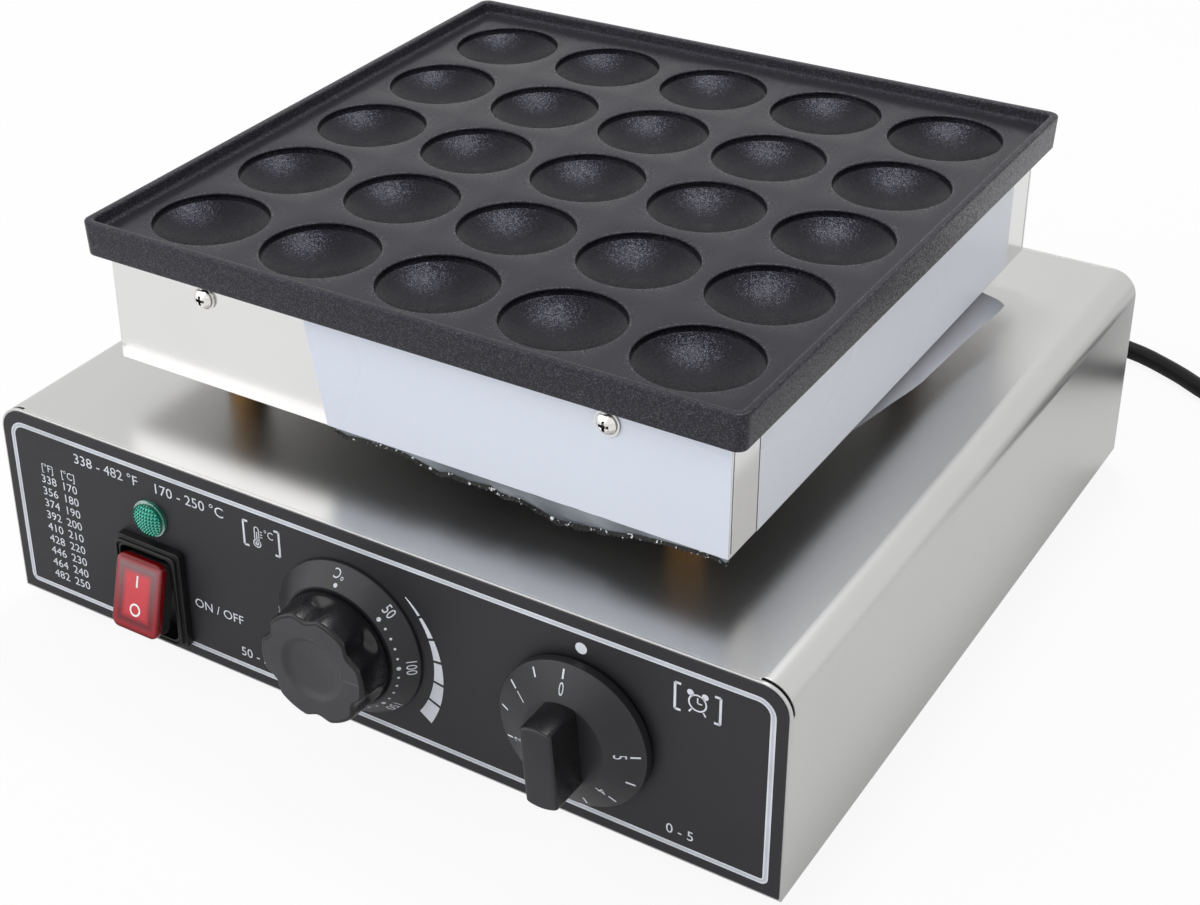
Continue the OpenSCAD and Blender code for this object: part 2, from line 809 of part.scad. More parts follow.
module base_cover() {
    length = base_d - 2 * chassis_t;
    color("lightgray") difference() {
        translate([0, 0, foot_h]) sheet_at(inside_y, length) difference() {
            base_outline(0);
            base_outline(cover_t);
            translate([-base_w / 2 + flange_w, -over]) square([base_w - 2 * flange_w, cover_t + 2 * over]);
        }
        for (x = [-1, 1]) {
            translate([x * (base_w - notch_w) / 2, inside_y, base_top + over - notch_w / 2])
                cube([notch_w, 2 * notch_l, notch_w], center = true);
        }
        translate([0, top_y, base_top]) {
            at_corners(standoff_span / 2, standoff_span / 2)
                cylinder(d = standoff_screw_d + 2 * screw_gap, h = 3 * cover_t, center = true);
            translate([0, conduit_y, 0])
                cylinder(d = conduit_neck_d + 2 * screw_gap, h = 3 * cover_t, center = true);
        }
        for (x = [-1, 1], y = cover_screw_ys) {
            translate([x * cover_screw_x, y, foot_h])
                cylinder(d = cover_screw_d + 2 * screw_gap, h = 3 * cover_t, center = true);
        }
    }
}

// Holes in the front for the controls, as shapes in X and Z
module control_holes() {
    translate([switch_x, switch_axis_z])
        square([switch_hole_w + 2 * switch_neck_wall + 2 * seat_gap,
            switch_hole_h + 2 * switch_neck_wall + 2 * seat_gap], center = true);
    translate([lamp_x, lamp_axis_z]) circle(d = lamp_neck_d + 2 * screw_gap);
    for (x = [thermostat_x, timer_x]) {
        translate([x, knob_axis_z]) circle(d = control_hole_d);
        for (side = [-1, 1]) {
            translate([x + side * control_screw_x, knob_axis_z])
                circle(d = control_screw_d + 2 * screw_gap);
        }
    }
}

module chassis() {
    floor_w = base_w - 2 * cover_t - 2 * seat_gap;
    color("silver") difference() {
        union() {
            sheet_at(front_y, chassis_t) difference() {
                translate([0, foot_h]) base_outline(0);
                control_holes();
            }
            translate([-floor_w / 2, front_y, chassis_z]) cube([floor_w, base_d, chassis_t]);
            sheet_at(rear_y - chassis_t, chassis_t) difference() {
                translate([0, foot_h]) base_outline(0);
                translate([relief_x, relief_axis_z]) circle(d = relief_neck_d + 2 * screw_gap);
            }
        }
        translate([0, base_y, chassis_z]) at_corners(foot_x, foot_y)
            cylinder(d = foot_screw_d + 2 * screw_gap, h = 3 * chassis_t, center = true);
        for (x = [-1, 1], y = cover_screw_ys) {
            translate([x * cover_screw_x, y, chassis_z])
                cylinder(d = cover_screw_d + 2 * screw_gap, h = 3 * chassis_t, center = true);
        }
        for (i = [-3 : 3]) {
            translate([i * vent_pitch, base_y, chassis_z])
                cube([vent_w, vent_l, 4 * chassis_t], center = true);
        }
        for (x = [-1, 1]) {
            translate([block_x + x * block_screw_x, block_y, chassis_z])
                cylinder(d = block_screw_d + 2 * screw_gap, h = 3 * chassis_t, center = true);
        }
        translate([earth_x, earth_y, chassis_z])
            cylinder(d = earth_d + 2 * screw_gap, h = 3 * chassis_t, center = true);
    }
}

module cover_screws() {
    color("silver") for (x = [-1, 1], y = cover_screw_ys) {
        translate([x * cover_screw_x, y, foot_h]) rotate([180, 0, 0])
            pan_screw(cover_screw_d, cover_screw_l);
    }
}

module feet() {
    color("#1c1c1c") translate([0, base_y, 0]) at_corners(foot_x, foot_y) difference() {
        cylinder(d1 = foot_d - 4, d2 = foot_d, h = chassis_z);
        translate([0, 0, -over]) cylinder(d = foot_recess_d, h = foot_recess_h + over);
        translate([0, 0, -over]) cylinder(d = foot_screw_d + 2 * screw_gap, h = chassis_z + 2 * over);
    }
}

module foot_screws() {
    color("silver") translate([0, base_y, foot_recess_h]) at_corners(foot_x, foot_y)
        rotate([180, 0, 0]) pan_screw(foot_screw_d, foot_screw_l);
}

module fascia() {
    color("#3d3d40") sheet_at(fascia_y, fascia_t) difference() {
        translate([0, foot_h]) base_outline(fascia_edge);
        control_holes();
    }
}

// Controls

module indicator_lens() {
    dome_h = 2.5;
    dome_r = (lamp_d * lamp_d / 4 + dome_h * dome_h) / (2 * dome_h);
    color("#1f9a6a") facing_front(lamp_x, fascia_y, lamp_axis_z) {
        cylinder(d = lamp_rim_d, h = lamp_rim_t);
        intersection() {
            cylinder(d = lamp_d, h = lamp_out);
            translate([0, 0, lamp_out - dome_r]) sphere(r = dome_r);
        }
    }
}

module indicator_body() {
    color("#202020") translate([lamp_x, fascia_y, lamp_axis_z]) rotate([-90, 0, 0])
        cylinder(d = lamp_neck_d, h = lamp_depth);
}

module indicator_nut() {
    color("#303030") translate([lamp_x, inside_y, lamp_axis_z]) rotate([-90, 0, 0])
        hex_nut(lamp_neck_d + 2 * screw_gap, lamp_neck_d + 6, lamp_nut_h);
}

module switch_body() {
    step = 1.1;
    neck_w = switch_hole_w + 2 * switch_neck_wall;
    neck_h = switch_hole_h + 2 * switch_neck_wall;
    pin_hole_l = switch_hole_w + 2 * pin_l + 2 * seat_gap;
    color("#232323") translate([switch_x, fascia_y, switch_axis_z]) difference() {
        union() {
            rotate([90, 0, 0]) {
                linear_extrude(switch_out - 2) rounded_square(switch_w, switch_h, 2);
                linear_extrude(switch_out) rounded_square(switch_w - 2 * step, switch_h - 2 * step, 2);
            }
            rotate([-90, 0, 0]) linear_extrude(switch_depth) square([neck_w, neck_h], center = true);
        }
        translate([-switch_hole_w / 2, -switch_out - over, -switch_hole_h / 2])
            cube([switch_hole_w, switch_out + over + switch_depth - 4, switch_hole_h]);
        translate([0, -pivot_out, 0]) rotate([0, 90, 0])
            cylinder(d = pin_d + 2 * running_fit, h = pin_hole_l, center = true);
    }
}

module switch_rocker() {
    hub = 5;
    hub_w = rocker_w - 2;
    pin_reach = switch_hole_w + 2 * pin_l;
    color("#c8202c") translate([switch_x, pivot_y, switch_axis_z]) rotate([90 - rocker_tilt, 0, 0]) {
        translate([0, 0, rocker_skirt]) linear_extrude(rocker_face - rocker_skirt)
            rounded_square(rocker_w, rocker_l, rocker_corner_r);
        translate([-hub_w / 2, -hub, -hub / 2]) cube([hub_w, 2 * hub, rocker_skirt + hub / 2]);
        rotate([0, 90, 0]) cylinder(d = pin_d, h = pin_reach, center = true);
    }
}

// Flat blades on the back of a control, at some offsets in X and Z
module blades(x, y, z, offsets) {
    for (offset = offsets) {
        translate([x + offset[0] - blade_t / 2, y, z + offset[1] - blade_w / 2])
            cube([blade_t, blade_l, blade_w]);
    }
}

module switch_terminals() {
    color("#c9b27a") blades(
        switch_x, fascia_y + switch_depth, switch_axis_z,
        [for (x = [-1, 1], z = [-1, 1]) [x * blade_spread / 2, z * blade_spread]]
    );
}

// Box behind the front with a bore for a control shaft and holes for its screws
module control_body(x, w, depth, h) {
    translate([x, inside_y, knob_axis_z]) difference() {
        translate([-w / 2, 0, -h / 2]) cube([w, depth, h]);
        rotate([-90, 0, 0]) translate([0, 0, -over])
            cylinder(d = shaft_d + 2 * running_fit, h = shaft_seat + over);
        for (side = [-1, 1]) {
            translate([side * control_screw_x, 0, 0]) rotate([-90, 0, 0])
                cylinder(d = control_screw_d + 2 * screw_gap, h = 2.5 * control_screw_l, center = true);
        }
    }
}

module control_screws(x) {
    for (side = [-1, 1]) {
        facing_front(x + side * control_screw_x, fascia_y, knob_axis_z)
            pan_screw(control_screw_d, control_screw_l);
    }
}

module control_shaft(x) {
    facing_front(x, inside_y + shaft_seat - seat_gap, knob_axis_z)
        cylinder(d = shaft_d, h = shaft_seat - seat_gap + chassis_t + fascia_t + shaft_in_knob);
}

module thermostat_body() {
    color("#d8d2c4") control_body(thermostat_x, thermostat_w, thermostat_depth, thermostat_h);
}

module thermostat_terminals() {
    color("#c9b27a") blades(
        thermostat_x, inside_y + thermostat_depth, knob_axis_z,
        [[-blade_spread, -blade_spread], [blade_spread, -blade_spread]]
    );
}

module thermostat_screws() {
    color("silver") control_screws(thermostat_x);
}

module thermostat_shaft() {
    color("silver") control_shaft(thermostat_x);
}

module thermostat_dial() {
    color("#333335") facing_front(thermostat_x, fascia_y, knob_axis_z) difference() {
        union() {
            cylinder(d = dial_d, h = dial_lip);
            translate([0, 0, dial_lip]) cylinder(d1 = dial_d, d2 = dial_top_d, h = dial_out - dial_lip);
        }
        translate([0, 0, -over]) cylinder(d = hub_hole_d, h = dial_out + 2 * over);
        for (side = [-1, 1]) {
            translate([side * control_screw_x, 0, -over])
                cylinder(d = 2.2 * control_screw_d, h = 0.7 * control_screw_d + over);
        }
    }
}

// Bore for a control shaft, from the foot of a knob
module knob_bore(foot) {
    bore_l = shaft_in_knob - foot + over + 1;
    translate([0, 0, foot - over]) cylinder(d = shaft_d + 2 * screw_gap, h = bore_l);
}

module thermostat_knob() {
    foot = dial_out + grip_gap;
    hub_foot = 2;
    chamfer = 1;
    dish_r = (grip_dish_d * grip_dish_d / 4 + grip_dish_h * grip_dish_h) / (2 * grip_dish_h);
    flute_r = grip_d / 2 + flute_d / 2 - flute_cut;
    color("#2b2b2d") facing_front(thermostat_x, fascia_y, knob_axis_z) rotate(-pointer_angle) difference() {
        union() {
            translate([0, 0, foot])
                cylinder(d1 = grip_d + grip_draft, d2 = grip_d, h = grip_out - chamfer - foot);
            translate([0, 0, grip_out - chamfer])
                cylinder(d1 = grip_d, d2 = grip_d - 2 * chamfer, h = chamfer);
            translate([0, 0, hub_foot]) cylinder(d = hub_d, h = foot - hub_foot + over);
        }
        for (i = [0 : grip_flutes - 1]) {
            rotate((i + 0.5) * 360 / grip_flutes) translate([0, flute_r, foot - over])
                cylinder(d = flute_d, h = grip_out);
        }
        translate([0, 0, grip_out - grip_dish_h + dish_r]) sphere(r = dish_r);
        translate([-pointer_w / 2, grip_dish_d / 2 + 1, grip_out - 0.5])
            cube([pointer_w, grip_d / 2 - grip_dish_d / 2, over]);
        knob_bore(hub_foot);
    }
}

module timer_body() {
    color("#d8d2c4") control_body(timer_x, timer_w, timer_depth, timer_h);
}

module timer_terminals() {
    color("#c9b27a") blades(
        timer_x, inside_y + timer_depth, knob_axis_z,
        [[-blade_spread, 0], [blade_spread, 0]]
    );
}

module timer_screws() {
    color("silver") control_screws(timer_x);
}

module timer_shaft() {
    color("silver") control_shaft(timer_x);
}

module timer_knob() {
    hollow_h = 4;
    wall = 2.5;
    hub_foot = 2.6;
    color("#2b2b2d") facing_front(timer_x, fascia_y, knob_axis_z) rotate(-timer_angle) difference() {
        union() {
            difference() {
                union() {
                    translate([0, 0, skirt_gap]) cylinder(d = skirt_d, h = skirt_edge - skirt_gap);
                    translate([0, 0, skirt_edge])
                        cylinder(d1 = skirt_d, d2 = handle_l, h = skirt_top - skirt_edge);
                }
                cylinder(d = skirt_d - 2 * wall, h = hollow_h);
            }
            translate([0, 0, hub_foot]) cylinder(d = hub_d, h = hollow_h - hub_foot + over);
            intersection() {
                translate([0, 0, skirt_edge]) cylinder(d = handle_l, h = handle_out - skirt_edge);
                translate([-handle_w / 2, -handle_l, 0]) cube([handle_w, 2 * handle_l, handle_out + over]);
            }
        }
        knob_bore(hub_foot);
    }
}

// Inner electrics

module terminal_block() {
    color("ivory") translate([block_x, block_y, floor_z]) difference() {
        translate([-block_w / 2, -block_depth / 2, 0]) cube([block_w, block_depth, block_h]);
        for (x = [-1, 1]) {
            translate([x * block_screw_x, 0, -over])
                cylinder(d = block_screw_d + 2 * screw_gap, h = block_h + 2 * over);
        }
    }
}

module terminal_block_screws() {
    color("silver") for (x = [-1, 1]) {
        translate([block_x + x * block_screw_x, block_y, floor_z + block_h])
            pan_screw(block_screw_d, block_screw_l);
    }
}

module earth_stud() {
    head_d = 10;
    color("#c9b27a") translate([earth_x, earth_y, chassis_z]) {
        translate([0, 0, -earth_head_h]) cylinder(d = head_d, h = earth_head_h);
        cylinder(d = earth_d, h = earth_h);
    }
}

module earth_nut() {
    color("silver") translate([earth_x, earth_y, floor_z])
        hex_nut(earth_d + 2 * screw_gap, 2 * earth_d, earth_nut_h);
}

module wire(places) {
    tube(smooth_path(places, 3), wire_d, 6, [1, 0, 0.2]);
}

// Wire from one end of the heating element through the conduit, to the places that follow
module heater_wire(side, places) {
    drop_y = top_y + conduit_y - 2;
    stud_y = top_y + element_end_y - bead_l - stud_l;
    wire(concat([
        [side * element_outer_x, stud_y, element_z],
        [side * element_outer_x, stud_y - wire_lead / 2, element_z],
        [side * (element_outer_x - 8), stud_y - wire_lead / 2, element_z - 10],
        [side * 50, drop_y - 22, housing_z + 22],
        [side * 12, drop_y - 4, housing_z + 24],
        [side * 4, drop_y, housing_z + 14],
        [side * 4, drop_y, base_top - 16]
    ], places));
}

module inner_wires() {
    drop_y = top_y + conduit_y;
    thermostat_y = inside_y + thermostat_depth + blade_l;
    timer_y = inside_y + timer_depth + blade_l;
    switch_y = fascia_y + switch_depth + blade_l;
    block_front = block_y - block_depth / 2;
    block_back = block_y + block_depth / 2;
    wire_z = floor_z + block_h / 2;
    blade_z = knob_axis_z - blade_spread;
    switch_blade_z = switch_axis_z - blade_spread;
    relief_in = rear_y - chassis_t - relief_neck_l;
    color("#7a2f22") {
        heater_wire(-1, [
            [-10, drop_y - 14, knob_axis_z + 10],
            [thermostat_x - blade_spread, thermostat_y + 2 * wire_lead, blade_z],
            [thermostat_x - blade_spread, thermostat_y, blade_z]
        ]);
        heater_wire(1, [
            [30, drop_y + 4, knob_axis_z + 16],
            [timer_x - blade_spread, timer_y + 2 * wire_lead, knob_axis_z],
            [timer_x - blade_spread, timer_y, knob_axis_z]
        ]);
        wire([
            [switch_x + blade_spread / 2, switch_y, switch_blade_z],
            [switch_x + blade_spread / 2, switch_y + wire_lead, switch_blade_z],
            [switch_x + 45, thermostat_y + 32, wire_z + 4],
            [thermostat_x + blade_spread, thermostat_y + 2 * wire_lead, blade_z],
            [thermostat_x + blade_spread, thermostat_y, blade_z]
        ]);
        wire([
            [switch_x - blade_spread / 2, switch_y, switch_blade_z],
            [switch_x - blade_spread / 2, switch_y + wire_lead, switch_blade_z],
            [switch_x, base_y, wire_z],
            [block_x - 50, block_front - 30, wire_z],
            [block_x - 8, block_front - 2 * wire_lead, wire_z],
            [block_x - 8, block_front, wire_z]
        ]);
        wire([
            [timer_x + blade_spread, timer_y, knob_axis_z],
            [timer_x + blade_spread, timer_y + wire_lead, knob_axis_z],
            [timer_x - 4, base_y, wire_z + 8],
            [block_x + 40, block_front - 30, wire_z],
            [block_x + 8, block_front - 2 * wire_lead, wire_z],
            [block_x + 8, block_front, wire_z]
        ]);
        for (side = [-1, 1]) {
            wire([
                [relief_x + side * 3, relief_in, relief_axis_z],
                [relief_x + side * 3, relief_in - wire_lead, relief_axis_z],
                [block_x + 20 + side * 6, block_back + 20, wire_z + 3],
                [block_x + side * 8, block_back + wire_lead, wire_z],
                [block_x + side * 8, block_back, wire_z]
            ]);
        }
        wire([
            [relief_x, relief_in, relief_axis_z + 4],
            [relief_x, relief_in - wire_lead, relief_axis_z + 4],
            [earth_x - 24, earth_y + 6, floor_z + 10],
            [earth_x - earth_d / 2 - wire_lead, earth_y, floor_z + 8],
            [earth_x - earth_d / 2 - seat_gap, earth_y, floor_z + 8]
        ]);
    }
}

// Cord

module strain_relief() {
    neck_l = chassis_t + relief_neck_l;
    color("#1c1c1c") translate([relief_x, rear_y, relief_axis_z]) rotate([-90, 0, 0]) {
        cylinder(d = relief_flange_d, h = relief_flange_t);
        cylinder(d1 = relief_root_d, d2 = relief_tip_d, h = relief_flange_t + relief_l);
        translate([0, 0, -neck_l]) cylinder(d = relief_neck_d, h = neck_l + over);
    }
}

module strain_relief_nut() {
    color("#2a2a2a") translate([relief_x, rear_y - chassis_t, relief_axis_z]) rotate([90, 0, 0])
        hex_nut(relief_neck_d + 2 * screw_gap, relief_neck_d + 8, relief_nut_h);
}

module power_cord() {
    color("#161616") tube(smooth_path(cord_route, 2), cord_d, 10);
}

module cord_coil() {
    color("#161616") tube(coil_path, cord_d, 6);
}

module cord_tie() {
    tie_angle = coil_entry - 90 + 180;
    loop_w = coil_pitch + cord_d + 2 * tie_gap;
    loop_h = coil_pitch + cord_d + 2 * tie_gap;
    color("#2a2a2a") translate([coil_x, coil_y, 0]) rotate(tie_angle)
        translate([coil_r - coil_pitch, 0, tie_t + loop_h / 2]) difference() {
            cube([loop_w + 2 * tie_t, tie_w, loop_h + 2 * tie_t], center = true);
            cube([loop_w, tie_w + 2 * over, loop_h], center = true);
        }
}

// Turns a shape that stands on the XY plane to lie along the plug's direction
module along_plug() {
    translate(plug_start) rotate(coil_exit - 90) rotate([-90, 0, 0]) children();
}

module power_plug() {
    color("#161616") along_plug() {
        cylinder(d1 = cord_d + 3, d2 = plug_d / 2, h = plug_boot_l);
        translate([0, 0, plug_boot_l]) cylinder(d1 = plug_d / 2, d2 = plug_d, h = plug_taper_l);
        translate([0, 0, plug_boot_l + plug_taper_l]) cylinder(d = plug_d, h = plug_body_l);
    }
}

module plug_pins() {
    color("silver") along_plug() for (x = [-1, 1]) {
        translate([x * plug_pin_spread / 2, 0, plug_boot_l + plug_taper_l + plug_body_l])
            cylinder(d = plug_pin_d, h = plug_pin_l);
    }
}

baking_plate();
plate_screws();
plate_screw_washers();
heater_housing();
film_front();
film_side();
heating_element();
element_terminals();
element_clamps();
clamp_screws();
sensor_bulb();
capillary_tube();
insulation_pad();
standoffs();
standoff_upper_screws();
standoff_lower_screws();
wire_conduit();
conduit_nuts();
base_cover();
chassis();
cover_screws();
feet();
foot_screws();
fascia();
indicator_lens();
indicator_body();
indicator_nut();
switch_body();
switch_rocker();
switch_terminals();
thermostat_body();
thermostat_terminals();
thermostat_screws();
thermostat_shaft();
thermostat_dial();
thermostat_knob();
timer_body();
timer_terminals();
timer_screws();
timer_shaft();
timer_knob();
terminal_block();
terminal_block_screws();
earth_stud();
earth_nut();
inner_wires();
strain_relief();
strain_relief_nut();
power_cord();
cord_coil();
cord_tie();
power_plug();
plug_pins();
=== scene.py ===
import json
from math import atan2, ceil, cos, hypot, pi, radians, sin, sqrt

import bmesh
import bpy
from mathutils import Matrix, Vector, noise


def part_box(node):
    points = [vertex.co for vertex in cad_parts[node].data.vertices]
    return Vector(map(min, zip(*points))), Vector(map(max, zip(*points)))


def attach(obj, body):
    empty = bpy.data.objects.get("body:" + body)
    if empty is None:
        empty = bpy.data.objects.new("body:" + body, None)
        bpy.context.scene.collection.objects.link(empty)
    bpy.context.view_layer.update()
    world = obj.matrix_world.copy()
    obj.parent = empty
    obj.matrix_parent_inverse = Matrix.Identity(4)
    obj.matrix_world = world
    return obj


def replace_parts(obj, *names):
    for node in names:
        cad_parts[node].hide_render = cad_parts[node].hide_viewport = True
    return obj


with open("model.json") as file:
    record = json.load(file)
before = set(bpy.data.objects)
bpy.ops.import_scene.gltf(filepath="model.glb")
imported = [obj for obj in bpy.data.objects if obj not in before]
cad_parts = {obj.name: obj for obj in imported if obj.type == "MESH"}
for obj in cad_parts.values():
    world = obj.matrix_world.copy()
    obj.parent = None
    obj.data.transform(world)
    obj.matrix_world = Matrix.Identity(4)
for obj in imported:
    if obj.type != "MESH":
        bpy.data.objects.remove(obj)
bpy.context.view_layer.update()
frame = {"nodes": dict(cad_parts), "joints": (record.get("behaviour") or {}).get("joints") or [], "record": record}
nodes = frame["nodes"]

# Lengths below are in millimetres, and MM turns them into Blender's metres
MM = 0.001
IMAGE_W = 1200
IMAGE_H = 905


def box_mm(node):
    low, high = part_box(node)
    return low / MM, high / MM


# Places taken from the frame
plate_high = box_mm("baking_plate")[1]
housing_low, housing_high = box_mm("heater_housing")
cover_low, cover_high = box_mm("base_cover")
lens_low, lens_high = box_mm("indicator_lens")
switch_low, switch_high = box_mm("switch_body")
relief_low, relief_high = box_mm("strain_relief")
plug_low, plug_high = box_mm("power_plug")
joint_places = {joint["name"]: Vector(joint["pos_m"]) / MM for joint in frame["joints"]}

PLATE_Y = (housing_low.y + housing_high.y) / 2
PLATE_HALF = plate_high.x
PLATE_TOP = plate_high.z
FASCIA_Y = box_mm("fascia")[0].y
BASE_Z = cover_low.z
BASE_W = cover_high.x - cover_low.x
BASE_H = cover_high.z - cover_low.z


def rotation(degrees, axis):
    return Matrix.Rotation(radians(degrees), 4, axis)


def new_object(name, data):
    item = bpy.data.objects.new(name, data)
    bpy.context.scene.collection.objects.link(item)
    return item


# Camera: the photograph's viewing angle, measured about the middle of the plate's upper face

def add_camera():
    azimuth, elevation, roll = 35.224, 28.636, -2.12
    focal_px = 2094.56
    centre_px = (443.13, 329.77)
    place = Vector((388.63, -653.96, 342.10))
    camera = bpy.data.cameras.new("camera")
    camera.sensor_width = 36
    camera.lens = focal_px / IMAGE_W * camera.sensor_width
    camera.shift_x = (IMAGE_W / 2 - centre_px[0]) / IMAGE_W
    camera.shift_y = -(IMAGE_H / 2 - centre_px[1]) / IMAGE_W
    camera.clip_start = 0.01
    eye = new_object("camera", camera)
    turn = rotation(azimuth, "Z") @ rotation(90 - elevation, "X") @ rotation(roll, "Z")
    eye.matrix_world = Matrix.Translation((Vector((0, PLATE_Y, PLATE_TOP)) + place) * MM) @ turn
    bpy.context.scene.camera = eye


add_camera()


# Shapes

CREASE_ANGLE = 35
EASE_STEPS = 4


class Shape:
    """Points and faces gathered into one mesh. Each face keeps the number of its finish."""

    def __init__(self):
        self.points = []
        self.faces = []
        self.finishes = []

    def face(self, corners, finish=0):
        self.faces.append(tuple(corners))
        self.finishes.append(finish)

    def loft(self, rings, closed=True, cap=False, finish=0):
        """Skins a list of rings with equal counts. cap closes the last ring with one face."""
        first = len(self.points)
        count = len(rings[0])
        for ring in rings:
            self.points.extend(ring)
        for i in range(len(rings) - 1):
            for k in range(count if closed else count - 1):
                a = first + i * count + k
                b = first + i * count + (k + 1) % count
                self.face((a, b, b + count, a + count), finish)
        if cap:
            self.face(range(first + (len(rings) - 1) * count, first + len(rings) * count), finish)

    def patch(self, points, finish=0):
        first = len(self.points)
        self.points.extend(points)
        self.face(range(first, first + len(points)), finish)

    def mesh(self, name, crease=CREASE_ANGLE):
        mesh = bpy.data.meshes.new(name)
        mesh.from_pydata([tuple(Vector(point) * MM) for point in self.points], [], self.faces)
        mesh.polygons.foreach_set("material_index", self.finishes)
        mesh.polygons.foreach_set("use_smooth", [True] * len(mesh.polygons))
        mesh.validate()
        mesh.set_sharp_from_angle(angle=radians(crease))
        mesh.update()
        return mesh

    def piece(self, name, body, slot, *materials, crease=CREASE_ANGLE):
        return link_piece(name, self.mesh(name, crease), body, slot, *materials)


def link_piece(name, mesh, body, slot, *materials):
    piece = new_object(name, mesh)
    for material in materials:
        mesh.materials.append(material)
    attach(piece, body)
    return piece


def circle(centre, radius, steps):
    turns = [2 * pi * k / steps for k in range(steps)]
    return [(centre[0] + radius * cos(t), centre[1] + radius * sin(t)) for t in turns]


def rounded_outline(w, h, r, steps=6, low_r=None):
    """Rectangle with round corners, counter-clockwise, as pairs about its own middle.

    The lower corners have their own radius where low_r is given.
    """
    low = low_r or r
    corners = ((1, -1, low, -90), (1, 1, r, 0), (-1, 1, r, 90), (-1, -1, low, 180))
    points = []
    for side, level, radius, start in corners:
        middle = (side * (w / 2 - radius), level * (h / 2 - radius))
        turns = [radians(start + 90 * k / steps) for k in range(steps + 1)]
        points += [(middle[0] + radius * cos(t), middle[1] + radius * sin(t)) for t in turns]
    return points


def inset_outline(size, inset, spread):
    """Outline inside a rounded rectangle. Its corner radius changes by spread for each millimetre."""
    w, h, r = size
    return rounded_outline(w - 2 * inset, h - 2 * inset, r + spread * inset)


def eased(corners):
    """Profile through corners. A corner's last number says how far from it its round stretch starts."""
    places = [Vector(corner[:-1]) for corner in corners]
    profile = []
    for k, here in enumerate(places):
        reach = corners[k][-1]
        if not reach:
            profile.append(here)
            continue
        start = here + (places[k - 1] - here).normalized() * reach
        end = here + (places[k + 1] - here).normalized() * reach
        for step in range(EASE_STEPS + 1):
            share = step / EASE_STEPS
            profile.append(start.lerp(here, share).lerp(here.lerp(end, share), share))
    return profile


def sheet(columns, rows, place):
    """Grid of points for a thin sheet. place takes the shares of the way along and across it."""
    return [[place(i / columns, j / rows) for i in range(columns + 1)] for j in range(rows + 1)]


def front(u, v, out):
    """Place in front of the fascia: right of the middle, above the base's lower edge, and out."""
    return Vector((u, FASCIA_Y - out, BASE_Z + v))


def dial_ring(centre, radius, out, count=128):
    """Ring round a control's axis. radius is a number, or a function of the angle from the top."""
    angles = [360 * k / count for k in range(count)]
    radii = [radius(angle) if callable(radius) else radius for angle in angles]
    return [
        front(centre[0] + r * sin(radians(angle)), centre[1] + r * cos(radians(angle)), out)
        for angle, r in zip(angles, radii)
    ]


def panel_place(point):
    return (point.x, point.z - BASE_Z)


THERMOSTAT = panel_place(joint_places["thermostat_turn"])
TIMER = panel_place(joint_places["timer_turn"])
SWITCH = panel_place((switch_low + switch_high) / 2)
LAMP = panel_place((lens_low + lens_high) / 2)


# Baking plate: square cells that each hold a mould, with the rim swept round them

RIM_W = 3.4
RIM_EDGE_R = 0.95
RIM_FILLET = 1.6
RIM_LEAN = 0.1
RIM_LAP_W = 5.6
RIM_LAP_DROP = 0.02
FLAT_BAND_W = 4
FLAT_DROP = 5.3
PLATE_H = 14.5
PLATE_CORNER_R = 4.5
PLATE_LEAST_R = 0.5
PLATE_DRAFT = 0.7
PLATE_FOOT_R = 0.9
UNDERSIDE_W = 12
MOULD_COUNT = 5
MOULD_MARGIN = 9
MOULD_PITCH = (2 * PLATE_HALF - 2 * MOULD_MARGIN) / MOULD_COUNT
MOULD_R = 23
MOULD_LIP_R = 0.7
MOULD_EDGE_H = 2.5
MOULD_EDGE_DRAFT = 0.2
BOWL_H = 6
BOWL_RIM_R = 22.1
CELL_STEPS = 64
LIP_STEPS = 6
BOWL_STEPS = 12


def mould_profile():
    """Radius and height from the flat: the rolled lip, the steep edge, a narrow ledge and the bowl."""
    turns = [radians(90 * k / LIP_STEPS) for k in range(LIP_STEPS + 1)]
    profile = [(MOULD_R + MOULD_LIP_R * (1 - sin(t)), MOULD_LIP_R * (cos(t) - 1)) for t in turns]
    profile += [
        (MOULD_R - MOULD_EDGE_DRAFT / 2, -MOULD_EDGE_H + MOULD_EDGE_DRAFT),
        (MOULD_R - MOULD_EDGE_DRAFT, -MOULD_EDGE_H),
        (BOWL_RIM_R, -MOULD_EDGE_H),
    ]
    bowl_r = (BOWL_RIM_R ** 2 + BOWL_H ** 2) / (2 * BOWL_H)
    for k in range(1, BOWL_STEPS):
        r = BOWL_RIM_R * cos(pi / 2 * k / BOWL_STEPS)
        profile.append((r, -MOULD_EDGE_H - BOWL_H + bowl_r - sqrt(bowl_r ** 2 - r ** 2)))
    return profile


def cell_rings():
    """One mould's rings, from the square edge of its cell to the bottom of the bowl."""
    directions = circle((0, 0), 1, CELL_STEPS)
    half = MOULD_PITCH / 2
    square = [(a * half / max(abs(a), abs(b)), b * half / max(abs(a), abs(b)), 0) for a, b in directions]
    return [square] + [[(a * r, b * r, z) for a, b in directions] for r, z in mould_profile()]


def rim_profile():
    """Half width and height from the rim's top: below the cells' edge, over the rim, to the underside."""
    inner = PLATE_HALF - RIM_W
    foot = PLATE_HALF - PLATE_DRAFT
    return eased((
        (inner - RIM_LAP_W, -FLAT_DROP - RIM_LAP_DROP, 0),
        (inner - FLAT_BAND_W, -FLAT_DROP, 0),
        (inner, -FLAT_DROP, RIM_FILLET),
        (inner + RIM_LEAN, 0, RIM_EDGE_R),
        (PLATE_HALF, 0, RIM_EDGE_R),
        (foot, -PLATE_H, PLATE_FOOT_R),
        (foot - UNDERSIDE_W, -PLATE_H, 0),
    ))


